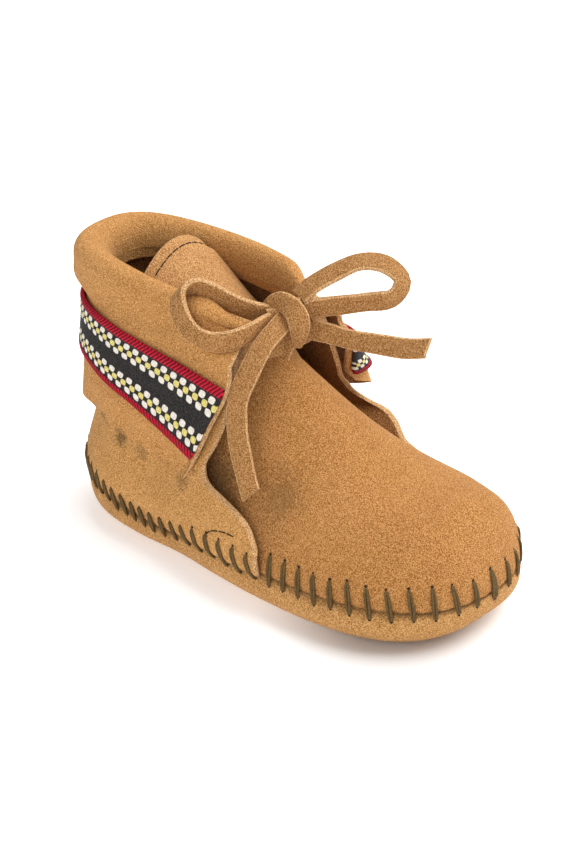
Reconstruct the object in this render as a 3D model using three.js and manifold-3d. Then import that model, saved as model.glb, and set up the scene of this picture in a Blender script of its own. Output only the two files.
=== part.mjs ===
// Infant's soft-sole suede ankle boot. Millimetres, +X to the toe, +Y to the boot's left, +Z up.
import * as THREE from 'three';
import { mergeVertices } from 'three/addons/utils/BufferGeometryUtils.js';
import Module from 'manifold-3d';

// Foot sizes
const LENGTH = 110;
const HEEL_HALF = 24.5;
const BALL_HALF = 27.2;
const HEEL_ROUND = 25;
const TOE_ROUND = 41;
const TOE_POWER = 2.4;
const HEEL_X = -LENGTH / 2;
const TOE_X = LENGTH / 2;
const HEEL_CENTRE_X = HEEL_X + HEEL_ROUND;
const BALL_X = TOE_X - TOE_ROUND;

// Leather gauges and the space left where two pieces meet
const SUEDE = 1.6;
const SOLE_SUEDE = 1.8;
const INSOLE_THICK = 1.5;
const RIBBON_THICK = 0.8;
const GAP = 0.3;
const RIBBON_GAP = 0.46;

// Sole: a shallow dish whose edge turns up to the whip-stitched seam
const SEAM_Z = 10.2;
const HEEL_LIFT = 1.1;
const SEAM_DIP = 2.4;
const SEAM_DIP_X = -22;
const SEAM_DIP_SPREAD = 12;
const SOLE_ROUND = 14;
const SOLE_POWER = 3.4;
const SOLE_SINK = 0.45;
const SOLE_BULGE = 1.3;
const SOLE_BULGE_HEEL = 0.4;
const SOLE_BULGE_TOE = 0.2;
const ARCH_RISE = 0.7;
const INSOLE_LENGTH_SHARE = 0.86;
const INSOLE_WIDTH_SHARE = 0.52;

// Tread line along the foot: flat heel, raised waist, flat forefoot, sprung toe
const HEEL_FLAT_BACK = -44;
const WAIST_BACK = -26;
const WAIST_X = -15;
const WAIST_FRONT = -4;
const FOREFOOT_FRONT = 34;
const HEEL_SPRING = 1;
const TOE_SPRING = 1.1;

// Vamp ridge: its height, and the powers of the arch across the foot (crown at the top, flank at the sides)
const VAMP_BACK_TOP = -6;
const VAMP_BACK_SEAM = -17;
const NOSE_X = 44;
const NOSE_POWER = 2.2;
const RIDGE = [
  { x: -20, z: 54, crown: 1.6, flank: 0.8 },
  { x: -8, z: 48.4, crown: 1.62, flank: 0.86 },
  { x: 0, z: 43.6, crown: 1.65, flank: 0.95 },
  { x: 12, z: 35.8, crown: 1.8, flank: 1.2 },
  { x: 24, z: 30, crown: 2, flank: 1.7 },
  { x: 36, z: 27.1, crown: 2.15, flank: 2.1 },
  { x: 46, z: 26.3, crown: 2.2, flank: 2.2 },
  { x: 55, z: 22, crown: 2.2, flank: 2.2 },
];

// Collar: the rolled top edge, a long oval above the heel, open at the throat
const COLLAR_X = -30.5;
const COLLAR_Z = 57.7;
const COLLAR_TILT = 0.03;
const COLLAR_REAR = 27.4;
const COLLAR_FRONT = 29;
const COLLAR_HALF = 14.7;
const COLLAR_POWER = 2.6;
const COLLAR_END_X = -5;
const COLLAR_END_DROP = 2.6;
const ROLL_RADIUS = 3.2;
const ROLL_END_RADIUS = 1.5;
const ROLL_SIDES = 8;

// Quarter wall: leans in from the heel bulge to the collar
const LEAN_FROM = 14;
const TOP_REAR = 25;
const TOP_HALF = 13.8;
const TOP_POWER = 2.5;
const BULGE = 0.9;
const BULGE_SPREAD = 6;
const HEEL_HOLLOW = 1.4;
const HEEL_HOLLOW_Z = 28;
const HEEL_HOLLOW_SPREAD = 8;
const LEFT_FLARE = 6.8;
const FRONT_CLOSE = 6;
const FRONT_RUN = 44;
const WING_LAP = 1.2;
const SEAM_DOUBLING = 1.7;
const SEAM_DOUBLING_RISE = 4;

// Front edge of the quarter from the seam up: the wing lies on the vamp, then the notch, then the throat
const WING = [
  { z: 9, x: 14.4 },
  { z: 15.3, x: 13.4 },
  { z: 17, x: 11.8 },
  { z: 19.1, x: 9 },
  { z: 20.6, x: 5.2 },
  { z: 21.9, x: 0.4 },
  { z: 23.1, x: -4.4 },
  { z: 25.2, x: -6.6 },
  { z: 27.3, x: -6.8 },
  { z: 31.1, x: -5.2 },
  { z: 36, x: -4 },
  { z: 45, x: -4.4 },
  { z: 60, x: -5.4 },
];

// Cuff: a strip folded over the collar, short leg inside, padded edge, long flap outside
const CUFF_INNER_LEG = 9;
const CUFF_KNEE_DROP = 3.4;
const QUARTER_TOP_DROP = 4.6;
const CUFF_LEG_OFFSET = -3.4;
const FLAP_TOP_OFFSET = 3.9;
const FLAP_LOW_OFFSET = 2.2;
const FLAP_LOW_Z = 26;
const PILLOW_DROPS = [2.4, 4.8, 6.6];
const PILLOW_HANG = 4.5;
const PILLOW_END_HANG = 0.5;
const FLAP_ROLL_DROP = 8;
const FLAP_HEEL_TUCK = 1.5;
const FLAP_END_X = -8;

// The left front end of the flap swings out and up, and its edge curls in
const LEFT_SWING = 9;
const LEFT_SWING_TOP = 47;
const LEFT_SWING_LOW = 29;
const LEFT_SWING_FALL = 0.43;
const LEFT_REACH = 0.64;
const LEFT_LIFT = 2.2;
const LEFT_TIP_LIFT = 1.8;
const LEFT_CURL = 0.8;
const LEFT_CURL_FROM = 0.936;

// Front edge of the cuff
const CUFF_FRONT = [
  { z: 21, x: -12 },
  { z: 24, x: -10.4 },
  { z: 29, x: -7.7 },
  { z: 36, x: -5.4 },
  { z: 44.5, x: -2.8 },
  { z: 50, x: -3.6 },
  { z: 58, x: COLLAR_END_X },
];

// Heights along the side of the foot: lower edge of the cuff flap, both edges of the ribbon
const BANDS = [
  { x: -55, flap: 27.5, low: 39.4, high: 49.6 },
  { x: -48, flap: 27.3, low: 38.7, high: 49.9 },
  { x: -41, flap: 26.8, low: 38.2, high: 49.8 },
  { x: -36, flap: 26, low: 37, high: 49.5 },
  { x: -29, flap: 25, low: 35, high: 48.6 },
  { x: -22, flap: 24.1, low: 32.8, high: 47.6 },
  { x: -15.5, flap: 23, low: 30.8, high: 46.5 },
  { x: -8, flap: 22, low: 28.8, high: 45 },
];

// Tongue: continues the vamp behind the bow and leans back into the collar
const TONGUE = [
  { step: 0, x: VAMP_BACK_TOP - GAP, z: 47.3, half: 10, drop: 8.6, power: 1.62 },
  { step: 0.3, x: -14.6, z: 51.3, half: 10.8, drop: 6.6, power: 1.8 },
  { step: 0.6, x: -23.8, z: 56.2, half: 10.6, drop: 5.4, power: 2 },
  { step: 0.8, x: -30.4, z: 60, half: 10.6, drop: 4.6, power: 2 },
  { step: 1, x: -36.6, z: 63.3, half: 10.6, drop: 4.1, power: 2 },
];
const TONGUE_ROUND = 0.12;
const TONGUE_TIP = 0.9;
const TONGUE_TILT = 0.09;
const TONGUE_SKEW = -0.08;
const TONGUE_GAUGE = 1.1;
const TONGUE_BACK = 0.5;

// Lace of cut suede, tied in a bow; routes of the knot, loops and ends
const LACE_THICK = 1.4;
const BAR_WIDTH = 3.6;
const LACE_TUBE = 1.3;
const BAR = [
  { x: -2.4, y: -10.2, z: 50.4 },
  { x: -1.7, y: -5.4, z: 50.3 },
  { x: -1.6, y: 0, z: 50.2 },
  { x: -1.7, y: 5.4, z: 50.3 },
  { x: -2.4, y: 10.2, z: 50.4 },
];
const KNOT = [
  { x: -6.8, y: -2.2, z: 55.2 },
  { x: -5.3, y: -2.2, z: 57.6 },
  { x: -2.6, y: -2, z: 59.3 },
  { x: 0.3, y: -2.2, z: 59.1 },
  { x: 2.5, y: -2.6, z: 57.8 },
  { x: 3.4, y: -2.9, z: 55.9 },
  { x: 3.2, y: -2.8, z: 53.5 },
  { x: 2, y: -2.1, z: 50.7 },
];
const LOOP_RIGHT = [
  { x: -6.4, y: -5.1, z: 56.8 },
  { x: -8.6, y: -7.1, z: 57.8 },
  { x: -11.1, y: -9.3, z: 59.3 },
  { x: -14, y: -11.8, z: 61.6 },
  { x: -16.1, y: -13.8, z: 62.9 },
  { x: -17.4, y: -16.4, z: 62.6 },
  { x: -17.1, y: -18.3, z: 60.4 },
  { x: -14.8, y: -19.2, z: 57 },
  { x: -11.4, y: -18.9, z: 54.6 },
  { x: -7.9, y: -17.1, z: 53.6 },
  { x: -4.9, y: -14.8, z: 54.1 },
  { x: -3.2, y: -11.4, z: 55.2 },
  { x: -3.1, y: -7.6, z: 55.5 },
];
const LOOP_LEFT = [
  { x: -1.8, y: 2.7, z: 59 },
  { x: -0.5, y: 5.7, z: 61.3 },
  { x: 2.2, y: 9.8, z: 63.7 },
  { x: 5.4, y: 14.1, z: 65.6 },
  { x: 9.5, y: 17.5, z: 65.2 },
  { x: 13.3, y: 18.8, z: 62.2 },
  { x: 13, y: 16.1, z: 58.8 },
  { x: 9.1, y: 12, z: 58.1 },
  { x: 5.3, y: 8.2, z: 57.5 },
  { x: 1.4, y: 4.3, z: 57 },
  { x: 0.4, y: 3, z: 56.4 },
];
const END_LEFT = [
  { x: 0.2, y: 3, z: 52.4 },
  { x: 5.6, y: 5, z: 51.9 },
  { x: 9.9, y: 6.8, z: 51.3 },
  { x: 15.2, y: 9.6, z: 50.9 },
  { x: 20.4, y: 11.9, z: 50.8 },
  { x: 24.8, y: 13.6, z: 51.7 },
];
const END_RIGHT = [
  { x: -0.8, y: -3.4, z: 55.7 },
  { x: 0.1, y: -6.8, z: 55.1 },
  { x: 0.4, y: -10.6, z: 53.4 },
  { x: -0.1, y: -14.3, z: 48.8 },
  { x: -0.7, y: -17.6, z: 42.7 },
  { x: 0.5, y: -19.2, z: 36.6 },
  { x: 2.8, y: -20.5, z: 31.8 },
  { x: 5.6, y: -21.8, z: 27.4 },
  { x: 7.4, y: -22.5, z: 24.8 },
];

// How finely each piece is divided
const VAMP_STEPS = 18;
const VAMP_SIDES = 20;
const QUARTER_STEPS = 36;
const QUARTER_ROWS = 14;
const ROW_CROWDING = 1.5;
const CUFF_STEPS = 34;
const FLAP_ROWS = 7;
const TRIM_ROWS = 5;
const SOLE_STEPS = 22;
const SOLE_SIDES = 18;
const TONGUE_STEPS = 10;
const TONGUE_SIDES = 12;
const CORD_SIDES = 8;
const INSOLE_STEPS = 14;
const INSOLE_SIDES = 6;

const clamp = (value, low, high) => Math.min(high, Math.max(low, value));
const mix = (a, b, share) => a + (b - a) * share;

function ease(from, to, value) {
  const share = clamp((value - from) / (to - from), 0, 1);
  return share * share * (3 - 2 * share);
}

// Smooth reading between the rows of a table
function read(table, key, column, value) {
  const last = table.length - 1;
  const at = clamp(value, table[0][key], table[last][key]);
  let i = 0;
  while (i < last - 1 && at > table[i + 1][key]) i += 1;
  const slope = (k) => {
    const a = table[Math.max(k - 1, 0)];
    const b = table[Math.min(k + 1, last)];
    return (b[column] - a[column]) / (b[key] - a[key]);
  };
  const run = table[i + 1][key] - table[i][key];
  const t = (at - table[i][key]) / run;
  const rise = table[i + 1][column] - table[i][column];
  const start = run * slope(i);
  const end = run * slope(i + 1);
  const bend = 3 * rise - 2 * start - end;
  return table[i][column] + t * (start + t * (bend + t * (start + end - 2 * rise)));
}

// Half an oval of any power: 1 at the middle, 0 at the rim
const oval = (share, power) => Math.pow(Math.max(0, 1 - Math.pow(clamp(share, 0, 1), power)), 1 / power);

function halfWidth(x) {
  if (x < HEEL_CENTRE_X) return HEEL_HALF * oval((HEEL_CENTRE_X - x) / HEEL_ROUND, 2);
  if (x < BALL_X) return mix(HEEL_HALF, BALL_HALF, ease(HEEL_CENTRE_X, BALL_X, x));
  return BALL_HALF * oval((x - BALL_X) / TOE_ROUND, TOE_POWER);
}

function seamZ(x) {
  const back = clamp((-x - 25) / 30, 0, 1);
  const dip = Math.exp(-(((x - SEAM_DIP_X) / SEAM_DIP_SPREAD) ** 2));
  return SEAM_Z + HEEL_LIFT * back * back - SEAM_DIP * dip;
}

function treadZ(x) {
  const waist = ease(WAIST_BACK, WAIST_X, x) * (1 - ease(WAIST_X, WAIST_FRONT, x));
  const heel = ease(HEEL_FLAT_BACK, HEEL_X, x);
  return ARCH_RISE * waist + HEEL_SPRING * heel + TOE_SPRING * ease(FOREFOOT_FRONT, TOE_X, x);
}

// Stations bunched towards both ends of a run
const bunched = (share) => (1 - Math.cos(share * Math.PI)) / 2;

// A closed solid between two faces of a sheet, faceted on a grid of steps by rows
function sheet(steps, rows, pointAt) {
  const positions = [];
  const index = [];
  const known = new Map();
  const corner = (i, j, face) => {
    const p = pointAt(i / steps, j / rows, face);
    const name = p.map((value) => Math.round(value * 2000)).join(' ');
    if (!known.has(name)) {
      known.set(name, positions.length / 3);
      positions.push(...p);
    }
    return known.get(name);
  };
  const triangle = (a, b, c) => {
    if (a !== b && b !== c && c !== a) index.push(a, b, c);
  };
  const quad = (a, b, c, d) => {
    triangle(a, b, c);
    triangle(a, c, d);
  };
  for (let i = 0; i < steps; i += 1) {
    for (let j = 0; j < rows; j += 1) {
      quad(corner(i, j, 0), corner(i + 1, j, 0), corner(i + 1, j + 1, 0), corner(i, j + 1, 0));
      quad(corner(i, j, 1), corner(i, j + 1, 1), corner(i + 1, j + 1, 1), corner(i + 1, j, 1));
    }
    quad(corner(i, 0, 0), corner(i, 0, 1), corner(i + 1, 0, 1), corner(i + 1, 0, 0));
    quad(corner(i, rows, 0), corner(i + 1, rows, 0), corner(i + 1, rows, 1), corner(i, rows, 1));
  }
  for (let j = 0; j < rows; j += 1) {
    quad(corner(0, j, 0), corner(0, j + 1, 0), corner(0, j + 1, 1), corner(0, j, 1));
    quad(corner(steps, j, 0), corner(steps, j, 1), corner(steps, j + 1, 1), corner(steps, j + 1, 0));
  }
  const geometry = new THREE.BufferGeometry();
  geometry.setAttribute('position', new THREE.Float32BufferAttribute(positions, 3));
  geometry.setIndex(index);
  return facingOut(geometry);
}

// Turn a closed faceted body the right way round
function facingOut(geometry) {
  const p = geometry.getAttribute('position');
  const index = geometry.getIndex();
  const corners = [new THREE.Vector3(), new THREE.Vector3(), new THREE.Vector3()];
  let volume = 0;
  for (let i = 0; i < index.count; i += 3) {
    corners.forEach((corner, k) => corner.fromBufferAttribute(p, index.getX(i + k)));
    volume += corners[0].dot(corners[1].clone().cross(corners[2]));
  }
  if (volume < 0) {
    for (let i = 0; i < index.count; i += 3) {
      const b = index.getX(i + 1);
      index.setX(i + 1, index.getX(i + 2));
      index.setX(i + 2, b);
    }
  }
  geometry.computeVertexNormals();
  return geometry;
}

// Dish of the sole: bowl sections across the foot, any depth of leather in from the outside
function dishPoint(x, angle, inset) {
  const across = Math.sign(angle) * Math.pow(Math.abs(Math.sin(angle)), 2 / SOLE_POWER);
  const down = Math.pow(Math.abs(Math.cos(angle)), 2 / SOLE_POWER);
  const end = Math.max((HEEL_X + SOLE_ROUND - x) / SOLE_ROUND, (x - TOE_X + SOLE_ROUND) / SOLE_ROUND, 0);
  const rim = seamZ(x) - GAP / 2;
  const tread = treadZ(x) + inset;
  const depth = (rim - tread + SOLE_SINK) * oval(end, 2.4);
  const z = Math.max(rim - depth * down, tread);
  const level = clamp((rim - z) / (rim - tread), 0, 1);
  const side = mix(SOLE_BULGE_HEEL, SOLE_BULGE, ease(-20, 30, x));
  const bulge = 4 * level * (1 - level) * mix(side, SOLE_BULGE_TOE, ease(38, 54, x));
  const half = halfWidth(x) * (1 + (bulge - inset) / BALL_HALF);
  return [x * (1 + (bulge - inset) / TOE_X), half * across, z];
}

function solePoint(u, v, face) {
  return dishPoint(mix(HEEL_X, TOE_X, bunched(u)), (v - 0.5) * Math.PI, face * SOLE_SUEDE);
}

// Insole: a thin liner cut to the bottom of the dish
function insolePoint(u, v, face) {
  const x = mix(HEEL_X, TOE_X, bunched(u)) * INSOLE_LENGTH_SHARE;
  const angle = (v - 0.5) * Math.PI * INSOLE_WIDTH_SHARE * oval(Math.abs(2 * bunched(u) - 1), 4);
  return dishPoint(x, angle, SOLE_SUEDE + GAP + (1 - face) * INSOLE_THICK);
}

// Vamp: arched sections from the throat to the toe
function vampPoint(u, v, face) {
  const inset = face * SUEDE;
  const angle = (v - 0.5) * Math.PI;
  const side = Math.abs(Math.sin(angle));
  const back = mix(VAMP_BACK_TOP, VAMP_BACK_SEAM, ease(0.5, 0.85, side));
  const x = TOE_X - (TOE_X - back) * (1 - Math.cos((u * Math.PI) / 2));
  const across = Math.sign(angle) * Math.pow(side, 2 / read(RIDGE, 'x', 'crown', x));
  const up = Math.pow(Math.abs(Math.cos(angle)), 2 / read(RIDGE, 'x', 'flank', x));
  const rim = seamZ(x) + GAP / 2;
  const rise = (read(RIDGE, 'x', 'z', x) - rim) * oval((x - NOSE_X) / (TOE_X - NOSE_X), NOSE_POWER);
  const height = rise * (1 - inset / Math.max(rise, 14));
  const half = halfWidth(x) * (1 - inset / BALL_HALF);
  return [x * (1 - (inset * Math.max(x, 0)) / (TOE_X * TOE_X)), half * across, rim + height * up];
}

// Quarter wall at a height: path 0 is one front edge, 0.5 the heel, 1 the other front edge
function wallPoint(path, z, offset, frontX, hollow = HEEL_HOLLOW) {
  const turn = Math.abs(2 * path - 1);
  const side = path < 0.5 ? -1 : 1;
  const lean = clamp((z - LEAN_FROM) / (COLLAR_Z - LEAN_FROM), 0, 1);
  const sunk = hollow * Math.exp(-(((z - HEEL_HOLLOW_Z) / HEEL_HOLLOW_SPREAD) ** 2));
  const tuck = sunk * (1 - ease(0.3, 0.6, turn));
  const swell = BULGE * Math.exp(-(((z - LEAN_FROM) / BULGE_SPREAD) ** 2)) + offset - tuck;
  const half = mix(HEEL_HALF, TOP_HALF, lean) + swell;
  if (turn < 0.5) {
    const angle = turn * Math.PI;
    const power = mix(2, TOP_POWER, lean);
    const rear = mix(HEEL_ROUND, TOP_REAR, lean) + swell;
    const x = HEEL_CENTRE_X - rear * Math.pow(Math.cos(angle), 2 / power);
    return [x, side * half * Math.pow(Math.sin(angle), 2 / power), z];
  }
  const x = mix(HEEL_CENTRE_X, frontX, 2 * turn - 1);
  const forward = (x - HEEL_CENTRE_X) / FRONT_RUN;
  const spread = (halfWidth(x) - HEEL_HALF + WING_LAP * ease(-18, 0, x)) * (1 - lean);
  const open = ease(-20, -4, x) * ease(18.5, 22.5, z) * (1 - ease(22.5, 35, z));
  const flare = side > 0 ? LEFT_FLARE * open : 0;
  return [x, side * (half + spread + flare - lean * FRONT_CLOSE * forward * forward), z];
}

// Middle of the rolled edge, on the same path
function collarPoint(path) {
  const turn = Math.abs(2 * path - 1);
  const side = path < 0.5 ? -1 : 1;
  let x = mix(COLLAR_X, COLLAR_END_X, 2 * turn - 1);
  let y = COLLAR_HALF * oval((x - COLLAR_X) / COLLAR_FRONT, COLLAR_POWER);
  if (turn < 0.5) {
    const angle = turn * Math.PI;
    x = COLLAR_X - COLLAR_REAR * Math.pow(Math.cos(angle), 2 / COLLAR_POWER);
    y = COLLAR_HALF * Math.pow(Math.sin(angle), 2 / COLLAR_POWER);
  }
  const drop = COLLAR_END_DROP * ease(0.8, 1, turn);
  return [x, side * y, COLLAR_Z - COLLAR_TILT * (x - COLLAR_X) - drop];
}

// Place along the foot that a path stands for, for reading the tables of heights
function stationX(path, frontX) {
  const turn = Math.abs(2 * path - 1);
  if (turn < 0.5) return HEEL_CENTRE_X - HEEL_ROUND * Math.cos(turn * Math.PI);
  return mix(HEEL_CENTRE_X, frontX, 2 * turn - 1);
}

// The quarter is doubled where it is sewn down along the seam, so it takes in the edge of the vamp
function quarterPoint(u, v, face) {
  const low = seamZ(stationX(u, WING[0].x)) + GAP / 6;
  const z = mix(low, collarPoint(u)[2] - QUARTER_TOP_DROP, Math.pow(v, ROW_CROWDING));
  const doubled = SEAM_DOUBLING * (1 - ease(low, low + SEAM_DOUBLING_RISE, z));
  return wallPoint(u, z, -face * (SUEDE + doubled), read(WING, 'z', 'x', z));
}

function flapOffset(path, z) {
  const heel = 1 - ease(0.2, 0.6, Math.abs(2 * path - 1));
  const top = FLAP_TOP_OFFSET - FLAP_HEEL_TUCK * heel;
  return mix(FLAP_LOW_OFFSET, top, clamp((z - FLAP_LOW_Z) / 30, 0, 1));
}

// Flap: the wall moved out along its own direction out
function flapPoint(path, z, offset) {
  const bare = (place) => {
    const turn = Math.abs(2 * place - 1);
    const rise = (LEFT_SWING_TOP - z) / (LEFT_SWING_TOP - LEFT_SWING_LOW);
    const fall = 1 - (LEFT_SWING_FALL * (LEFT_SWING_LOW - z)) / LEFT_SWING;
    const share = place > 0.5 ? clamp(Math.min(rise, fall), 0, 1) : 0;
    const swing = share * ease(0.55, LEFT_CURL_FROM, turn);
    const curl = 1 - oval((turn - LEFT_CURL_FROM) / (1 - LEFT_CURL_FROM), 2);
    const height = z + (LEFT_LIFT + LEFT_TIP_LIFT * curl) * swing;
    const reach = place > 0.5 ? LEFT_REACH * Math.max(LEFT_SWING_LOW - z, 0) : 0;
    const [x, y] = wallPoint(place, height, 0, read(CUFF_FRONT, 'z', 'x', height) + reach, 0);
    return [x, y + LEFT_SWING * swing * (1 - LEFT_CURL * curl), height];
  };
  const ahead = bare(Math.min(path + 0.002, 1));
  const behind = bare(Math.max(path - 0.002, 0));
  const out = new THREE.Vector2(behind[1] - ahead[1], ahead[0] - behind[0]).normalize();
  const [x, y, height] = bare(path);
  return [x + out.x * offset, y + out.y * offset, height];
}

// Places on the path of the cuff, closer together towards its front edges
const cuffPath = (share) => mix(share, bunched(share), 0.5);

// Cuff section: up the inner leg, over the roll, down its padded side to the foot of the flap
const CUFF_ROWS = 2 + ROLL_SIDES + PILLOW_DROPS.length + 1 + FLAP_ROWS;

function cuffPoint(u, v, face) {
  const path = cuffPath(u);
  const middle = collarPoint(path);
  const k = Math.round(v * CUFF_ROWS);
  if (k < 2) {
    const z = middle[2] - (k < 1 ? CUFF_INNER_LEG : CUFF_KNEE_DROP);
    return wallPoint(path, z, CUFF_LEG_OFFSET + face * (SUEDE - 0.2), COLLAR_END_X);
  }
  const row = k - 3 - ROLL_SIDES;
  if (row < PILLOW_DROPS.length) {
    const angle = Math.PI * (1 - (k - 2) / ROLL_SIDES);
    const foot = wallPoint(path, middle[2], 0, COLLAR_END_X);
    const away = wallPoint(path, middle[2], 1, COLLAR_END_X);
    const out = new THREE.Vector2(away[0] - foot[0], away[1] - foot[1]).normalize();
    const roll = mix(ROLL_RADIUS, ROLL_END_RADIUS, ease(0.8, 1, Math.abs(2 * path - 1)));
    const radius = roll * (1 - (face * SUEDE) / ROLL_RADIUS);
    const reach = row < 0 ? radius * Math.cos(angle) : radius;
    const rise = row < 0 ? radius * Math.sin(angle) : -PILLOW_DROPS[row];
    const edge = [middle[0] + out.x * reach, middle[1] + out.y * reach, middle[2] + rise];
    if (row < 0) return edge;
    const flap = flapPoint(path, edge[2], flapOffset(path, edge[2]) - face * SUEDE);
    const hang = mix(PILLOW_HANG, PILLOW_END_HANG, ease(0.5, 0.85, Math.abs(2 * path - 1)));
    return edge.map((value, axis) => mix(value, flap[axis], ease(0, 4, PILLOW_DROPS[row] - hang)));
  }
  const low = read(BANDS, 'x', 'flap', stationX(path, FLAP_END_X));
  const z = mix(middle[2] - FLAP_ROLL_DROP, low, (row - PILLOW_DROPS.length) / FLAP_ROWS);
  return flapPoint(path, z, flapOffset(path, z) - face * SUEDE);
}

// Ribbon on the flap, its ends cut to the slope of the cuff's front edge
function trimPoint(u, v, face) {
  const path = cuffPath(u);
  const station = stationX(path, FLAP_END_X);
  const z = mix(read(BANDS, 'x', 'low', station), read(BANDS, 'x', 'high', station), v);
  return flapPoint(path, z, flapOffset(path, z) + RIBBON_GAP + (1 - face) * RIBBON_THICK);
}

// Tongue: arched strip with a rounded top
function tonguePoint(step, v, face) {
  const u = 1 - Math.pow(1 - step, 1.6);
  const power = read(TONGUE, 'step', 'power', u);
  const top = clamp((u - 1 + TONGUE_ROUND) / TONGUE_ROUND, 0, 1);
  const half = read(TONGUE, 'step', 'half', u) * Math.max(oval(top, 2), TONGUE_TIP);
  const place = 2 * v - 1;
  const drop = read(TONGUE, 'step', 'drop', u) * Math.pow(Math.abs(place), power);
  const shrink = face * TONGUE_GAUGE;
  const y = half * place;
  const x = read(TONGUE, 'step', 'x', u) + TONGUE_SKEW * u * y - TONGUE_BACK * shrink * ease(0, 0.3, u);
  return [x, y, read(TONGUE, 'step', 'z', u) + TONGUE_TILT * u * y - drop - shrink];
}

function route(table) {
  return new THREE.CatmullRomCurve3(table.map(({ x, y, z }) => new THREE.Vector3(x, y, z)));
}

// Crossing of the lace between the two ends of the rolled collar
function barPoint(u, v, face) {
  const middle = route(BAR).getPoint(u);
  const reach = (v - 0.5) * BAR_WIDTH * Math.SQRT1_2;
  const lift = (0.5 - face) * LACE_THICK * Math.SQRT1_2;
  return [middle.x + reach + lift, middle.y, middle.z - reach + lift];
}

// Round cord along a route
function cord(table, steps) {
  const section = new THREE.Shape();
  section.absarc(0, 0, LACE_TUBE, 0, Math.PI * 2, false);
  const options = { steps, curveSegments: CORD_SIDES / 2, extrudePath: route(table), bevelEnabled: false };
  const geometry = new THREE.ExtrudeGeometry(section, options);
  geometry.deleteAttribute('normal');
  geometry.deleteAttribute('uv');
  return facingOut(mergeVertices(geometry, 1e-3));
}

const wasm = await Module();
wasm.setup();

// Stitch two closed bodies into one
function joined(first, second) {
  const body = (geometry) => {
    const vertProperties = new Float32Array(geometry.getAttribute('position').array);
    const triVerts = new Uint32Array(geometry.getIndex().array);
    return new wasm.Manifold(new wasm.Mesh({ numProp: 3, vertProperties, triVerts }));
  };
  const mesh = body(first).add(body(second)).getMesh();
  const geometry = new THREE.BufferGeometry();
  geometry.setAttribute('position', new THREE.Float32BufferAttribute(mesh.vertProperties, 3));
  geometry.setIndex(Array.from(mesh.triVerts));
  return facingOut(mergeVertices(geometry, 1e-4));
}

const suede = (color) => new THREE.MeshStandardMaterial({ color, roughness: 0.95, metalness: 0 });
const TAN = suede(0xc1864c);
const TAN_SOLE = suede(0xbf8d56);
const TAN_CUFF = suede(0xbf8951);
const TAN_LACE = suede(0xb48454);
const TAN_TONGUE = suede(0xd0995f);
const INSOLE_TAN = suede(0xa1703e);
const RIBBON = new THREE.MeshStandardMaterial({ color: 0x2a2422, roughness: 0.85, metalness: 0 });

const group = new THREE.Group();
group.name = 'ankle_boot';

function place(name, geometry, material) {
  const mesh = new THREE.Mesh(geometry, material);
  mesh.name = name;
  group.add(mesh);
}

const vamp = sheet(VAMP_STEPS, VAMP_SIDES, vampPoint);
const quarter = sheet(QUARTER_STEPS, QUARTER_ROWS, quarterPoint);

place('sole', sheet(SOLE_STEPS, SOLE_SIDES, solePoint), TAN_SOLE);
place('insole', sheet(INSOLE_STEPS, INSOLE_SIDES, insolePoint), INSOLE_TAN);
place('upper', joined(vamp, quarter), TAN);
place('tongue', sheet(TONGUE_STEPS, TONGUE_SIDES, tonguePoint), TAN_TONGUE);
place('cuff', sheet(CUFF_STEPS, CUFF_ROWS, cuffPoint), TAN_CUFF);
place('trim', sheet(CUFF_STEPS, TRIM_ROWS, trimPoint), RIBBON);
place('lace_bar', sheet(10, 2, barPoint), TAN_LACE);
place('lace_knot', cord(KNOT, 10), TAN_LACE);
place('lace_loop_right', cord(LOOP_RIGHT, 22), TAN_LACE);
place('lace_loop_left', cord(LOOP_LEFT, 22), TAN_LACE);
place('lace_end_right', cord(END_RIGHT, 14), TAN_LACE);
place('lace_end_left', cord(END_LEFT, 10), TAN_LACE);

export default group;
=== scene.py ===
# %% [markdown]
# # A soft-sole suede ankle boot for an infant
# The real boot is cut from flat suede: a sole that turns up like a shallow dish, a vamp over the toes,
# a quarter that wraps the heel and laps the vamp with two wings, a cuff folded over the collar, a tongue
# and a suede lace. Here each cut piece becomes one mesh, a sheet with two faces and a raw edge, bent by the
# same formulas as the solids of the part. Millimetres are used throughout, and turned to metres at the end.

# %% Load the frame
import math

import bmesh
import bpy
import numpy as np
from mathutils import Matrix, Vector
from mathutils.bvhtree import BVHTree


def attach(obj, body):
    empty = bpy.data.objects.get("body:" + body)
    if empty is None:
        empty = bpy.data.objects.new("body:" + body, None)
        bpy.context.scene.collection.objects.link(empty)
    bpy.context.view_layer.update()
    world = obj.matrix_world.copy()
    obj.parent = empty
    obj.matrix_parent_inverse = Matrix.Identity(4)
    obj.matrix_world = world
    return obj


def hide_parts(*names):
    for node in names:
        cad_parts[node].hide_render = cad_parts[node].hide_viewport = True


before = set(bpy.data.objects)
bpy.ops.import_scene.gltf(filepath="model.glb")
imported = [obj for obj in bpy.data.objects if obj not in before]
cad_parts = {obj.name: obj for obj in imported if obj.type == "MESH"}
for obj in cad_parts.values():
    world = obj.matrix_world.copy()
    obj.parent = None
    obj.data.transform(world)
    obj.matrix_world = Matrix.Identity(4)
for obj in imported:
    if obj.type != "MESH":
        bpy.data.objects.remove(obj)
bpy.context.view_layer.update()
MM = 0.001
print("solids of the part:", sorted(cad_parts))

# %% [markdown]
# ## Camera
# The view is from above the toe, on the boot's right. A camera is easiest to place by three directions, one
# to the right of the image, one up it and one towards the camera, because they are the columns of its
# matrix. The lens then follows from how many pixels a millimetre takes at the boot.

# %% Camera
VIEW_AZIMUTH = math.radians(42)
VIEW_ELEVATION = math.radians(28)
VIEW_DISTANCE = 500
VIEW_TARGET = np.array([-9.3, 7.6, 22.0])
IMAGE_HEIGHT = 864
PIXELS_PER_MM = 4.47
SENSOR_HEIGHT = 36.0

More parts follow.
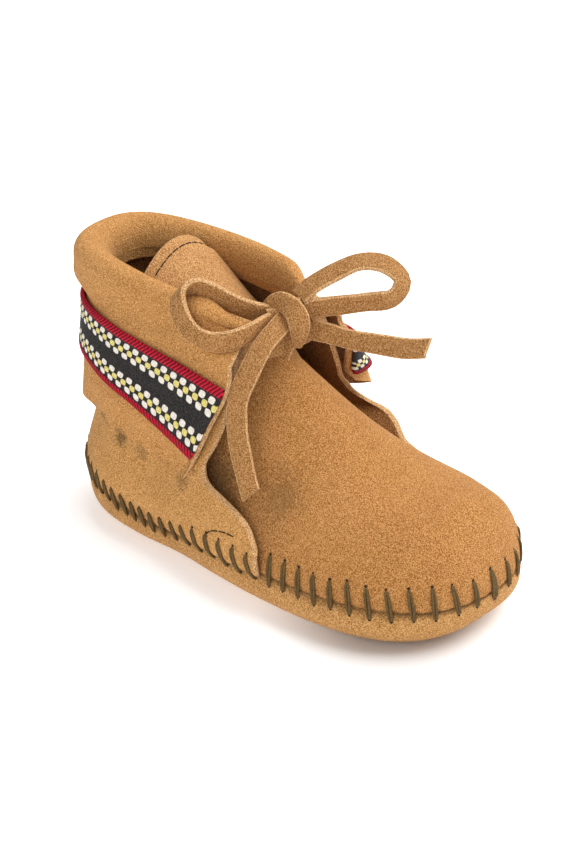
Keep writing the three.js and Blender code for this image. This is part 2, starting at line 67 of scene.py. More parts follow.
level = math.cos(VIEW_ELEVATION)
toward = np.array([math.sin(VIEW_AZIMUTH) * level, -math.cos(VIEW_AZIMUTH) * level, math.sin(VIEW_ELEVATION)])
rightward = np.array([math.cos(VIEW_AZIMUTH), math.sin(VIEW_AZIMUTH), 0.0])
upward = np.cross(toward, rightward)

camera = bpy.data.objects.new("camera", bpy.data.cameras.new("camera"))
bpy.context.scene.collection.objects.link(camera)
camera.data.sensor_fit = "VERTICAL"
camera.data.sensor_height = SENSOR_HEIGHT
camera.data.lens = SENSOR_HEIGHT * PIXELS_PER_MM * VIEW_DISTANCE / IMAGE_HEIGHT
camera.data.clip_start = 0.01
axes = Matrix(np.column_stack([rightward, upward, toward]).tolist())
camera.matrix_world = Matrix.Translation((VIEW_TARGET + VIEW_DISTANCE * toward) * MM) @ axes.to_4x4()
bpy.context.scene.camera = camera
print(f"lens {camera.data.lens:.1f} mm")

# %% [markdown]
# ## Shader maths
# A finish is a tree of nodes. Written by hand that is long, so a small class wraps one socket: sums and
# products of wrapped sockets add Math nodes, and every other node comes from one method.

# %% Sockets as numbers
class Plug:
    """A socket of a finish. Arithmetic written with it becomes Math nodes."""

    def __init__(self, socket):
        self.socket = socket

    def node(self, kind, settings, sockets, out=0):
        """Any node: its settings first, then the values or links of its sockets."""
        tree = self.socket.id_data
        made = tree.nodes.new(kind)
        for name, value in settings.items():
            setattr(made, name, value)
        for name, value in sockets.items():
            if isinstance(value, Plug):
                tree.links.new(value.socket, made.inputs[name])
            else:
                made.inputs[name].default_value = value
        return Plug(made.outputs[out])

    def maths(self, operation, first, second=0.0):
        return self.node("ShaderNodeMath", {"operation": operation}, {0: first, 1: second})

    def __add__(self, other):
        return self.maths("ADD", self, other)

    def __sub__(self, other):
        return self.maths("SUBTRACT", self, other)

    def __rsub__(self, other):
        return self.maths("SUBTRACT", other, self)

    def __mul__(self, other):
        return self.maths("MULTIPLY", self, other)

    def __truediv__(self, other):
        return self.maths("DIVIDE", self, other)

    def __pow__(self, other):
        return self.maths("POWER", self, other)

    def __abs__(self):
        return self.maths("ABSOLUTE", self)

    __radd__ = __add__
    __rmul__ = __mul__

    def fraction(self):
        return self.maths("FRACT", self)

    def larger(self, other):
        return self.maths("MAXIMUM", self, other)

    def between(self, low, high):
        """0 below low, 1 above high, soft in the middle."""
        settings = {"interpolation_type": "SMOOTHSTEP"}
        return self.node("ShaderNodeMapRange", settings, {"Value": self, "From Min": low, "From Max": high})

    def blend(self, low, high):
        """The colour low where this is 0 and high where it is 1."""
        settings = {"data_type": "RGBA"}
        return self.node("ShaderNodeMix", settings, {0: self, 6: low, 7: high}, out=2)

print("shader maths ready:", Plug.__name__)

# %% [markdown]
# ## Starting a finish
# A finish starts as a plain shader of a given roughness. Colours are written as they look on a screen, from
# 0 to 255, and turned to the linear values that light is reckoned in. Cloudy noise, with its size in
# millimetres, is used by every finish, so its helper is here too.

# %% Starting a finish
def linear(red, green, blue, gain=1.0):
    """A colour as seen on a screen, 0 to 255, as the linear values that a shader takes."""
    def straight(value):
        value = value / 255
        return value / 12.92 if value <= 0.04045 else ((value + 0.055) / 1.055) ** 2.4

    return tuple(straight(value) * gain for value in (red, green, blue)) + (1.0,)


def new_finish(name, roughness):
    """An empty finish, its shader, and a plug to add nodes with."""
    material = bpy.data.materials.new(name)
    material.use_nodes = True
    shader = material.node_tree.nodes["Principled BSDF"]
    shader.inputs["Roughness"].default_value = roughness
    shader.inputs["Specular IOR Level"].default_value = 0.2
    return material, shader, Plug(shader.outputs[0])


def feed(shader, socket, plug):
    plug.socket.id_data.links.new(plug.socket, shader.inputs[socket])


def noise(plug, place, size, detail=2.0):
    """Cloudy noise whose blots are about that many millimetres across."""
    sockets = {"Vector": place, "Scale": 1 / (size * MM), "Detail": detail, "Roughness": 0.6}
    return plug.node("ShaderNodeTexNoise", {}, sockets)


print("mid grey on a screen is", round(linear(128, 128, 128)[0], 3), "in linear light")

# %% [markdown]
# ## Suede
# Suede is the flesh side of leather, brushed to a nap of short fibres. It has no gloss, and close up it is a
# scatter of light and dark grains under half a millimetre wide, over slow patches where the nap lies another
# way. Three sizes of noise mix a dark and a light tan, and the two finer ones also lift the surface as bump.
# The sheen is the soft light that fibres catch at the edge of a curve. A number carried by the mesh, and a
# few listed spots, turn the tan to a dark brown: dirt where a seam or a rub has darkened it, painted shade
# in the seam, inside the collar and behind the near wing, and painted shadow under the flap's edge.

# %% Suede finishes
NAP_SIZE = 0.25
FLECK_SIZE = 0.6
PATCH_SIZE = 9
FIBRE_SHARE, FLECK_SHARE, PATCH_SHARE = 2.7, 0.5, 0.25
NAP_RELIEF = 0.5
FLECK_RELIEF = 0.7
NAP_BUMP = 0.9
GRAIN = 40
GRIME_AND_SHADE_BROWN = (84, 62, 34)
SPOT_CORE = 0.2
SPOT_RAGGED = 1.6
SHEEN = 0.06
SHEEN_TINT = (250, 225, 190)


def dark_and_light(colour):
    """The same colour some steps darker, and as much lighter, so that the two average to it."""
    middle = linear(*colour)
    dark = linear(*(max(0, value - GRAIN) for value in colour))
    return dark, tuple(2 * whole - low for whole, low in zip(middle, dark))


def suede(name, colour, nap=1.0, stains_and_shade=()):
    """Brushed suede. Each dark spot, stains and painted shade alike, has a middle, a reach in millimetres and
    a depth.
    """
    material, shader, plug = new_finish(name, roughness=0.95)
    shader.inputs["Sheen Weight"].default_value = SHEEN
    shader.inputs["Sheen Roughness"].default_value = 0.5
    shader.inputs["Sheen Tint"].default_value = linear(*SHEEN_TINT)
    place = plug.node("ShaderNodeTexCoord", {}, {}, out="Object")
    fibres = noise(plug, place, NAP_SIZE, detail=1.0)
    flecks = noise(plug, place, FLECK_SIZE)
    patches = noise(plug, place, PATCH_SIZE)
    fine = FIBRE_SHARE * (fibres - 0.5) + FLECK_SHARE * (flecks - 0.5)
    tone = 0.5 + nap * fine + PATCH_SHARE * (patches - 0.5)
    tan = tone.between(0.0, 1.0).blend(*dark_and_light(colour))
    # The mesh's own number darkens the tan: dirt and painted shade along the seam, painted shade in the
    # collar.
    grime_and_shade = plug.node("ShaderNodeAttribute", {"attribute_name": "grime_and_shade"}, {}, out="Fac")
    # Listed spots: rubs of dirt, painted shade by the near wing, painted shadow under the flap's edge.
    for middle, reach, depth in stains_and_shade:
        spot = {0: place, 1: tuple(value * MM for value in middle)}
        away = plug.node("ShaderNodeVectorMath", {"operation": "DISTANCE"}, spot, out="Value")
        wavy = away / MM + SPOT_RAGGED * reach * (flecks - 0.5)
        grime_and_shade = grime_and_shade.larger(depth * (1 - wavy.between(SPOT_CORE * reach, reach)))
    feed(shader, "Base Color", grime_and_shade.blend(tan, linear(*GRIME_AND_SHADE_BROWN)))
    height = fibres + FLECK_RELIEF * flecks
    bump = {"Strength": NAP_BUMP, "Distance": NAP_RELIEF * MM, "Height": height}
    feed(shader, "Normal", plug.node("ShaderNodeBump", {}, bump))
    return material


# The quarter and the cuff are a lighter tan than the vamp: painted light, lifting the near side that the top
# lamp leaves in shade.
VAMP_TAN = (184, 129, 72)
QUARTER_TAN = (204, 150, 88)
CUFF_TAN = (198, 143, 83)
SOLE_TAN = (196, 145, 87)
TONGUE_TAN = (194, 143, 90)
LACE_TAN = (172, 124, 74)
EDGE_TAN = (206, 161, 112)
# The inside and the backs of the pieces are a darker tan: partly the lining's own colour, partly painted
# shade inside the boot.
LINING_AND_SHADE_TAN = (136, 90, 48)

EDGE_NAP = 1.3

suede_edge = suede("suede_cut_edge", EDGE_TAN, nap=EDGE_NAP)
suede_lining_and_shade = suede("suede_lining_and_shade", LINING_AND_SHADE_TAN)
print("suede finishes:", suede_edge.name, suede_lining_and_shade.name)

# %% [markdown]
# ## The foot's outline
# All the pieces share one outline, the seam where the uppers meet the turned-up sole. It is made of a round
# heel, a straight waist and a squarer toe. Tables hold what isn't a plain curve, such as the height of the
# ridge along the foot, and are read smoothly between their rows.

# %% Outline of the foot
LENGTH = 110
HEEL_HALF = 24.5
BALL_HALF = 27.2
HEEL_ROUND = 25
TOE_ROUND = 41
TOE_POWER = 2.4
HEEL_X = -LENGTH / 2
TOE_X = LENGTH / 2
HEEL_CENTRE_X = HEEL_X + HEEL_ROUND
BALL_X = TOE_X - TOE_ROUND
SUEDE = 1.6
GAP = 0.3
SEAM_Z = 10.2
HEEL_LIFT = 1.1
HEEL_LIFT_FROM = 25
SEAM_DIP = 2.4
SEAM_DIP_X = -22
SEAM_DIP_SPREAD = 12


def mix(low, high, share):
    return low + (high - low) * share


def ease(start, stop, value):
    share = np.clip((value - start) / (stop - start), 0, 1)
    return share * share * (3 - 2 * share)


def read(table, column, value):
    """Smooth reading of a table: the first column is where, the others are what."""
    keys, values = table[:, 0], table[:, column]
    slopes = np.empty(len(keys))
    slopes[1:-1] = (values[2:] - values[:-2]) / (keys[2:] - keys[:-2])
    slopes[0] = (values[1] - values[0]) / (keys[1] - keys[0])
    slopes[-1] = (values[-1] - values[-2]) / (keys[-1] - keys[-2])
    at = np.clip(value, keys[0], keys[-1])
    row = np.clip(np.searchsorted(keys, at, side="left") - 1, 0, len(keys) - 2)
    run = keys[row + 1] - keys[row]
    share = (at - keys[row]) / run
    rise = values[row + 1] - values[row]
    start, end = run * slopes[row], run * slopes[row + 1]
    curve = share * (start + share * (3 * rise - 2 * start - end + share * (start + end - 2 * rise)))
    return values[row] + curve


def oval(share, power):
    """Half an oval of any power: 1 at the middle, 0 at the rim."""
    return np.maximum(0, 1 - np.clip(share, 0, 1) ** power) ** (1 / power)


def half_width(x):
    heel = HEEL_HALF * oval((HEEL_CENTRE_X - x) / HEEL_ROUND, 2)
    waist = mix(HEEL_HALF, BALL_HALF, ease(HEEL_CENTRE_X, BALL_X, x))
    toe = BALL_HALF * oval((x - BALL_X) / TOE_ROUND, TOE_POWER)
    return np.where(x < HEEL_CENTRE_X, heel, np.where(x < BALL_X, waist, toe))


def seam_z(x):
    back = np.clip((-x - HEEL_LIFT_FROM) / (-HEEL_X - HEEL_LIFT_FROM), 0, 1)
    dip = SEAM_DIP * np.exp(-((x - SEAM_DIP_X) / SEAM_DIP_SPREAD) ** 2)
    return SEAM_Z + HEEL_LIFT * back ** 2 - dip


def bunched(share):
    """Stations bunched towards both ends of a run."""
    return (1 - np.cos(share * np.pi)) / 2

print(f"the foot is {2 * half_width(0.0):.1f} mm wide at the middle")

# %% [markdown]
# ## The seam and its stitches
# The seam is walked once round, from the back of the heel along the right side, over the toe and back on the
# left. The run is how far along it a point is. The stitches are closer together at the waist than at the toe,
# as sewn by hand, so a table holds their pitch along the run.

# %% Seam and stitch places
SEAM_STATIONS = 600
STITCH_START = 1.1
STITCH_PITCHES = np.array([
    (0, 3.5), (30, 3.1), (42, 2.9), (50, 3.7), (58, 4.2), (75, 4.1), (90, 3.9), (120, 4.8), (140, 5.6)])

station = mix(HEEL_X, TOE_X, bunched(np.linspace(0, 1, SEAM_STATIONS)))
right_side = np.column_stack([station, -half_width(station)])
left_side = np.column_stack([station, half_width(station)])[::-1]
seam_line = np.vstack([right_side, left_side[1:]])
seam_run = np.concatenate([[0], np.cumsum(np.linalg.norm(np.diff(seam_line, axis=0), axis=1))])
stitch_runs = [STITCH_START]
while stitch_runs[-1] < seam_run[-1] / 2:
    stitch_runs.append(stitch_runs[-1] + float(read(STITCH_PITCHES, 1, stitch_runs[-1])))
stitch_runs = np.array(stitch_runs[:-1])
print(f"seam {seam_run[-1]:.0f} mm round, {len(stitch_runs)} stitches on each side")

# %% [markdown]
# ## Uneven leather
# Leather is never perfectly even. A grid of points for a face is moved along its own normals by slow waves,
# a few sines in directions drawn from a fixed seed, and by listed soft hollows. Near the seam the
# edge tucks in, and each stitch draws it in a little more. A number on each point darkens the seam line:
# dirt gathered there and painted shade along the joint.

# %% Uneven leather
WAVES = 6


def squares(steps, rows):
    """Shares from 0 to 1 along both sides of a grid."""
    along = np.linspace(0, 1, steps + 1)[:, None]
    across = np.linspace(0, 1, rows + 1)[None, :]
    return along + 0 * across, across + 0 * along


def unit(vectors):
    return vectors / np.maximum(np.linalg.norm(vectors, axis=-1, keepdims=True), 1e-9)


def facing(outside, inside):
    """Normals of a grid, pointing away from its back."""
    normals = unit(np.cross(np.gradient(outside, axis=0), np.gradient(outside, axis=1)))
    turned = np.sign(np.sum(normals * (outside - inside)))
    return normals * turned


def wander(points, size, seed):
    """Unevenness from about -1 to 1, in waves of about that many millimetres."""
    draw = np.random.default_rng(seed)
    total = np.zeros(points.shape[:-1])
    for _ in range(WAVES):
        heading = unit(draw.normal(size=3))
        wave = size * draw.uniform(0.7, 1.5)
        total += np.sin(points @ heading * (2 * np.pi / wave) + draw.uniform(0, 2 * np.pi))
    return 2 * total / WAVES


def hollows(points, table):
    """Depth of listed soft hollows, or of swellings where the depth is below 0."""
    depth = np.zeros(points.shape[:-1])
    for middle, reach, deep in table:
        away = np.linalg.norm(points - np.array(middle), axis=-1)
        depth += deep * np.exp(-((away / reach) ** 2))
    return depth


SEAM_TUCK = 0.35
SEAM_TUCK_REACH = 0.6
STITCH_DRAW = 0.35
STITCH_DRAW_REACH = 3.0
# The seam is darkened towards brown: partly dirt, partly painted shade along the joint.
SEAM_DIRT_AND_SHADE = 0.9
SEAM_DIRT_AND_SHADE_REACH = 0.3


def run_along_seam(points):
    """How far round the seam each point is, from the back of the heel along the right side."""
    flat = points.reshape(-1, 3)[:, :2]
    nearest = np.concatenate([
        np.argmin(((part[:, None] - seam_line[None]) ** 2).sum(2), axis=1)
        for part in np.array_split(flat, max(1, len(flat) // 2000))
    ])
    return seam_run[nearest].reshape(points.shape[:-1])


def seam_pull(points):
    """How far the thread draws the leather in near the seam."""
    above = np.abs(points[..., 2] - seam_z(points[..., 0]))
    run = run_along_seam(points)
    counted = np.interp(np.minimum(run, seam_run[-1] - run), stitch_runs, np.arange(len(stitch_runs)))
    wave = 0.5 + 0.5 * np.cos(2 * np.pi * counted)
    drawn = STITCH_DRAW * wave * np.exp(-((above / STITCH_DRAW_REACH) ** 2))
    return drawn + SEAM_TUCK * np.exp(-((above / SEAM_TUCK_REACH) ** 2))


def seam_darkening(points):
    """Darkening along the seam, 0 to 1: dirt caught in it and painted shade along the joint."""
    above = np.abs(points[..., 2] - seam_z(points[..., 0]))
    return SEAM_DIRT_AND_SHADE * np.exp(-((above / SEAM_DIRT_AND_SHADE_REACH) ** 2))


print(f"the seam is drawn in by {SEAM_TUCK + STITCH_DRAW:.1f} mm at a stitch")

# %% [markdown]
# ## From a formula to a leather panel
# A panel is a grid of points for the face that shows and another for the back. The helper joins them with a
# wall round the rim, whose middle is pushed out so that the cut edge looks rounded, and gives that wall the
# paler finish. Points that coincide, as at the ends of the foot, are welded.

# %% Panels
EDGE_PUFF = 0.32
SHARP_ANGLE = math.radians(55)
WELD = 0.002
SLIVER = 0.001


def finish_mesh(name, points, faces, finishes, face_finish, values=None):
    """A smooth mesh from points in millimetres, joined where points coincide."""
    mesh = bpy.data.meshes.new(name)
    mesh.from_pydata((points * MM).tolist(), [], faces)
    for label, numbers in (values or {}).items():
        layer = mesh.attributes.new(label, "FLOAT", "POINT")
        layer.data.foreach_set("value", np.asarray(numbers, dtype=np.float32))
    mesh.polygons.foreach_set("material_index", np.asarray(face_finish, dtype=np.int32))
    for finish in finishes:
        mesh.materials.append(finish)
    work = bmesh.new()
    work.from_mesh(mesh)
    bmesh.ops.remove_doubles(work, verts=work.verts, dist=WELD * MM)
    bmesh.ops.dissolve_degenerate(work, edges=work.edges, dist=SLIVER * MM)
    bmesh.ops.recalc_face_normals(work, faces=work.faces)
    work.to_mesh(mesh)
    work.free()
    mesh.shade_smooth()
    mesh.set_sharp_from_angle(angle=SHARP_ANGLE)
    piece = bpy.data.objects.new(name, mesh)
    bpy.context.scene.collection.objects.link(piece)
    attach(piece, "root")
    return piece


def panel(name, outside, inside, finishes, values=None):
    """A sheet of leather: two faces and a rounded cut edge. finishes are for face, back and edge."""
    rows, columns = outside.shape[:2]
    index = np.arange(rows * columns).reshape(rows, columns)
    back = index + rows * columns
    ring = np.concatenate([index[0, :], index[1:, -1], index[-1, -2::-1], index[-2:0:-1, 0]])
    flat_out, flat_in = outside.reshape(-1, 3), inside.reshape(-1, 3)
    inner = np.concatenate([index[1, :], index[1:, -2], index[-2, -2::-1], index[-2:0:-1, 1]])
    thick = np.linalg.norm(flat_out[ring] - flat_in[ring], axis=1)[:, None]
    puff = unit(flat_out[ring] - flat_out[inner]) * thick * EDGE_PUFF
    middle = (flat_out[ring] + flat_in[ring]) / 2 + puff
    faces, face_finish = [], []
    for grid, turned, finish in ((index, False, 0), (back, True, 1)):
        quads = np.stack([grid[:-1, :-1], grid[1:, :-1], grid[1:, 1:], grid[:-1, 1:]], axis=-1).reshape(-1, 4)
        faces += (quads[:, ::-1] if turned else quads).tolist()
        face_finish += [finish] * len(quads)
    middle_index = np.arange(len(ring)) + 2 * rows * columns
    for first, second in ((ring, middle_index), (middle_index, ring + rows * columns)):
        after_first, after_second = np.roll(first, -1), np.roll(second, -1)
        faces += np.stack([first, second, after_second, after_first], axis=-1).tolist()
        face_finish += [2] * len(ring)
    points = np.vstack([flat_out, flat_in, middle])
    spread = {}
    for label, numbers in (values or {}).items():
        flat = np.asarray(numbers).reshape(-1)
        spread[label] = np.concatenate([flat, flat, flat[ring]])
    return finish_mesh(name, points, faces, finishes, face_finish, spread)


def dress(piece, node):
    """Say which solid a piece stands for, and hide that solid."""
    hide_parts(node)
    print(f"{piece.name}: {len(piece.data.polygons)} faces, stands for {node}")


# %% [markdown]
# ## Smooth lines
# Routes are given by a few points, and a smooth line through them comes from the four points round each step:
# it goes through the middle two and heads from the first to the last. The line is then spaced evenly, and its
# length is kept, because a lace has one.

# %% Smooth lines
CURVE_STEPS = 24


def glide(a, b, c, d, t):
    """A share t of the way from b to c, on a smooth curve that comes from a and goes on to d."""
    square = 2 * a - 5 * b + 4 * c - d
    cube = 3 * b - a - 3 * c + d
    return 0.5 * (2 * b + (c - a) * t + square * t ** 2 + cube * t ** 3)


def through(points, count):
    """A smooth curve through a list of points, evenly spaced."""
    points = np.array(points, dtype=float)
    before = np.vstack([2 * points[0] - points[1], points, 2 * points[-1] - points[-2]])
    curve = []
    for a, b, c, d in zip(before, before[1:], before[2:], before[3:]):
        for t in np.linspace(0, 1, CURVE_STEPS, endpoint=False):
            curve.append(glide(a, b, c, d, t))
    curve = np.array(curve + [points[-1]])
    run = np.concatenate([[0], np.cumsum(np.linalg.norm(np.diff(curve, axis=0), axis=1))])
    even = np.linspace(0, run[-1], count)
    return np.column_stack([np.interp(even, run, curve[:, k]) for k in range(3)]), run[-1]


_, bend = through([(1, 0, 0), (0.707, 0.707, 0), (0, 1, 0)], 3)
print(f"a quarter turn of radius 1 comes out {bend:.2f} long")

# %% [markdown]
# ## Lace
# The lace is a strip of suede about 4.5 mm wide, tied in a bow. A strip has a route, and also a direction in
# which it lies flat, which turns as the strip twists. Both are given at a few places, the direction
# in terms of the view: right, up and towards the camera. The loops go back into the knot and the ends are
# cut.

# %% Lace strips
LACE_WIDTH = 4.5
LACE_THICK = 1.7
LACE_RINGS = 44
LACE_SIDES = 20
LACE_CORNER = 3.2
LACE_UNEVEN = 0.05
LACE_WAVE = 9
LACE_EDGE_FROM = 0.85
TAPER_RUN = 0.3


def strip_mesh(route, flats, width, thick, seed, slant=(0.0, 0.0), taper=(0.0, 0.0)):
    """Points and faces of a flat strip. flats are (share of the route, right, up, towards)."""
    rings = LACE_RINGS
    centre, length = through(route, rings)
    heading = unit(np.gradient(centre, axis=0))
    share = np.linspace(0, 1, rings)
    flats = np.array(flats, dtype=float)
    lie = np.column_stack([np.interp(share, flats[:, 0], flats[:, k]) for k in (1, 2, 3)])
    lie = lie @ np.array([rightward, upward, toward])
    lie = unit(lie - heading * np.sum(lie * heading, axis=1, keepdims=True))
    face = np.cross(heading, lie)
    turn = np.linspace(0, 2 * np.pi, LACE_SIDES, endpoint=False)
    reach = np.sign(np.cos(turn)) * np.abs(np.cos(turn)) ** (2 / LACE_CORNER)
    rise = np.sign(np.sin(turn)) * np.abs(np.sin(turn)) ** (2 / LACE_CORNER)
    wave = 1 + LACE_UNEVEN * wander(centre[:, None, :], LACE_WAVE, seed)
    narrowed = 1 - taper[0] * (1 - ease(0, TAPER_RUN, share)) - taper[1] * ease(1 - TAPER_RUN, 1, share)
    widths = width / 2 * wave * narrowed[:, None]
    cut = np.zeros((rings, LACE_SIDES))
    cut[0], cut[-1] = slant[0] * reach, slant[1] * reach
    points = (centre[:, None] + lie[:, None] * (widths * reach)[..., None]
              + face[:, None] * (thick / 2 * rise)[None, :, None] + heading[:, None] * cut[..., None])
    index = np.arange(rings * LACE_SIDES).reshape(rings, LACE_SIDES)
    near, far = index[:-1], index[1:]
    quads = np.stack([near, np.roll(near, -1, 1), np.roll(far, -1, 1), far], axis=-1)
    faces = quads.reshape(-1, 4).tolist() + [index[0, ::-1].tolist(), index[-1].tolist()]
    narrow = np.abs(np.cos(turn + np.pi / LACE_SIDES)) > LACE_EDGE_FROM
    face_finish = np.tile(np.where(narrow, 1, 0), rings - 1).tolist() + [1, 1]
    return points.reshape(-1, 3), faces, face_finish, centre, length


def gather(parts):
    """One list of points and faces from many."""
    points, faces, start = [], [], 0
    for part_points, part_faces in parts:
        faces += [[corner + start for corner in face] for face in part_faces]
        points.append(part_points)
        start += len(part_points)
    return np.vstack(points), faces


lace_suede = suede("suede_lace", LACE_TAN)
lace_edge = suede("suede_lace_edge", EDGE_TAN, nap=EDGE_NAP)


def lace_strip(name, node, route, flats, seed, slant=(0.0, 0.0)):
    """One length of the lace as a piece, with its middle line and its length."""
    made = strip_mesh(route, flats, LACE_WIDTH, LACE_THICK, seed, slant)
    points, faces, face_finish, centre, length = made
    piece = finish_mesh(name, points, faces, [lace_suede, lace_edge], face_finish)
    dress(piece, node)
    return piece, centre, length


# %% [markdown]
# ## Bow
# The routes are those of the solids: two loops, a short end that points over the left wing and a long end
# that hangs on the right. They start inside the knot. A loop shows its outside below and its inside above,
# so it lies like a band that leans towards its middle.

# %% Loops and ends
LOOP_RIGHT = [
    (-5.4, -2.4, 55.3), (-6.4, -5.1, 56.8), (-8.6, -7.1, 57.8), (-11.1, -9.3, 59.3), (-14, -11.8, 61.6),
    (-16.1, -13.8, 62.9), (-17.4, -16.4, 62.6), (-17.1, -18.3, 60.4), (-14.8, -19.2, 57),
    (-11.4, -18.9, 54.6), (-7.9, -17.1, 53.6), (-4.9, -14.8, 54.1), (-3.2, -11.4, 55.2),
    (-3.1, -7.6, 55.5), (-3.9, -2.5, 54.4)]
LOOP_LEFT = [
    (-1.8, 2.7, 59), (-0.5, 5.7, 61.3), (2.2, 9.8, 63.7), (5.4, 14.1, 65.6), (9.5, 17.5, 65.2),
    (13.3, 18.8, 62.2), (13, 16.1, 58.8), (9.1, 12, 58.1), (5.3, 8.2, 57.5), (1.4, 4.3, 57), (0.4, 3, 56.4)]
END_LEFT = [
    (-2.4, 1.2, 53.6), (0.2, 3, 52.4), (5.6, 5, 51.9), (9.9, 6.8, 51.3), (15.2, 9.6, 50.9),
    (20.4, 11.9, 50.8), (24.8, 13.6, 51.7)]
END_RIGHT = [
    (-1.4, -0.5, 56.1), (-0.8, -3.4, 55.7), (0.1, -6.8, 55.1), (0.4, -10.6, 53.4), (-0.1, -14.3, 48.8),
    (-0.7, -17.6, 42.7), (0.5, -19.2, 36.6), (2.8, -20.5, 31.8), (5.6, -21.8, 27.4), (7.4, -22.5, 24.8)]

LOOP_RIGHT_FLATS = [
    (0, 0, 0.8, 0.6), (0.25, 0.1, 0.8, 0.6), (0.4, 0.5, 0.4, 0.75), (0.52, 0.8, 0.35, 0.5),
    (0.68, 0.3, 0.85, 0.4), (1, 0, 0.9, 0.4)]
LOOP_LEFT_FLATS = [
    (0, 0.5, -0.7, 0.6), (0.3, 0.5, -0.7, 0.6), (0.45, 0, -0.85, 0.5), (0.56, -0.85, -0.1, 0.5),
    (0.68, -0.2, 0.85, 0.5), (1, 0, 0.85, 0.5)]
END_LEFT_FLATS = [(0, 0, 1, 0.1), (0.5, 0, 1, 0.25), (1, 0, 1, 0.1)]
END_RIGHT_FLATS = [
    (0, 0.7, -0.7, 0), (0.15, 0.75, -0.6, 0.1), (0.3, 0.9, -0.3, 0.15), (0.5, 1, 0, 0.2), (1, 1, 0, 0.25)]
END_LEFT_SLANT = (0, 1.0)
END_RIGHT_SLANT = (0, -0.8)

loop_right = lace_strip("bow_loop_right", "lace_loop_right", LOOP_RIGHT, LOOP_RIGHT_FLATS, 11)
loop_left = lace_strip("bow_loop_left", "lace_loop_left", LOOP_LEFT, LOOP_LEFT_FLATS, 12)
end_left = lace_strip("bow_end_left", "lace_end_left", END_LEFT, END_LEFT_FLATS, 13, END_LEFT_SLANT)
end_right = lace_strip("bow_end_right", "lace_end_right", END_RIGHT, END_RIGHT_FLATS, 14, END_RIGHT_SLANT)

# %% [markdown]
# ## Knot and crossing
# The knot is the lace wrapped once over itself: a folded strip from behind the top, over the front and in
# underneath, with the roots of the loops packed behind it. The crossing under it joins the two collar ends.

# %% Knot and crossing
KNOT = [
    (-6.8, -2.2, 55.2), (-5.3, -2.2, 57.6), (-2.6, -2, 59.3), (0.3, -2.2, 59.1), (2.5, -2.6, 57.8),
    (3.4, -2.9, 55.9), (3.2, -2.8, 53.5), (2, -2.1, 50.7)]
KNOT_FLATS = [(0, -0.7, 0.7, 0), (0.3, 0, 1, 0), (0.55, 0.7, 0.7, 0), (0.75, 1, 0.1, 0), (1, 1, 0, 0)]
KNOT_ROOTS = [(-4.4, -4.4, 55.6), (-2.2, -1.6, 56), (-1.2, 1.2, 56.8), (-0.8, 4.2, 57.6)]
KNOT_ROOTS_FLATS = [(0, 0, 1, 0.2), (1, 0, 1, 0.2)]
KNOT_NECK = [(-1.4, 0.1, 53.8), (-1, -1.9, 51.6), (-1.9, -3.5, 47.3)]
KNOT_NECK_FLATS = [(0, 0.9, -0.4, 0), (1, 0.9, -0.4, 0)]
BAR = [(-2.4, -10.2, 50.4), (-1.7, -5.4, 50.3), (-1.6, 0, 50.2), (-1.7, 5.4, 50.3), (-2.4, 10.2, 50.4)]
BAR_FLATS = [(0, 0, 1, 0.2), (1, 0, 1, 0.2)]
KNOT_WIDTH = 4.6
KNOT_THICK = 1.7
KNOT_TAPER = (0.35, 0.5)
KNOT_ROOTS_THICK = 1.6 * KNOT_THICK

knot_parts = [
    strip_mesh(KNOT, KNOT_FLATS, KNOT_WIDTH, KNOT_THICK, 21, taper=KNOT_TAPER),
    strip_mesh(KNOT_ROOTS, KNOT_ROOTS_FLATS, LACE_WIDTH, KNOT_ROOTS_THICK, 22),
    strip_mesh(KNOT_NECK, KNOT_NECK_FLATS, LACE_WIDTH, KNOT_THICK, 23),
]
points, faces = gather([part[:2] for part in knot_parts])
face_finish = []
for part in knot_parts:
    face_finish += part[2][:-2] + [0, 0]
knot = finish_mesh("bow_knot", points, faces, [lace_suede, lace_edge], face_finish)
dress(knot, "lace_knot")
lace_strip("lace_crossing", "lace_bar", BAR, BAR_FLATS, 24)

cords = [
    (loop_right, "object", []), (loop_left, "object", []),
    (end_left, "bare", []), (end_right, "bare", [knot])]
for (piece, path, length), far_end, others in cords:
    tuple(path[0] * MM)
    length * MM
    (path * MM).tolist()
    print(f"{piece.name}: {length:.1f} mm of lace")

# %% [markdown]
# ## Sole
# The sole is one piece of thicker suede whose rim turns up all round to meet the uppers, so it shows from
# the side as a soft rounded band. Its tread is flat under heel and ball, lifted a little at the waist and
# sprung at the toe. A section across the foot is a bowl, half an oval of high power.

# %% Sole
SOLE_SUEDE = 1.8
SOLE_ROUND = 14
SOLE_POWER = 3.4
SOLE_SINK = 0.45
SOLE_BULGE = 1.3
SOLE_BULGE_HEEL = 0.4
SOLE_BULGE_TOE = 0.2
SOLE_BULGE_GROWS = (-20, 30)
SOLE_BULGE_FADES = (38, 54)
SOLE_END_POWER = 2.4
SOLE_UNEVEN = 0.12
SOLE_WAVE = 16
TREAD_CLEAR = (1.5, 5)
ARCH_RISE = 0.7
HEEL_FLAT_BACK, WAIST_BACK, WAIST_X, WAIST_FRONT, FOREFOOT_FRONT = -44, -26, -15, -4, 34
HEEL_SPRING = 1
TOE_SPRING = 1.1


def tread_z(x):
    waist = ease(WAIST_BACK, WAIST_X, x) * (1 - ease(WAIST_X, WAIST_FRONT, x))
    heel = HEEL_SPRING * ease(HEEL_FLAT_BACK, HEEL_X, x)
    return ARCH_RISE * waist + heel + TOE_SPRING * ease(FOREFOOT_FRONT, TOE_X, x)


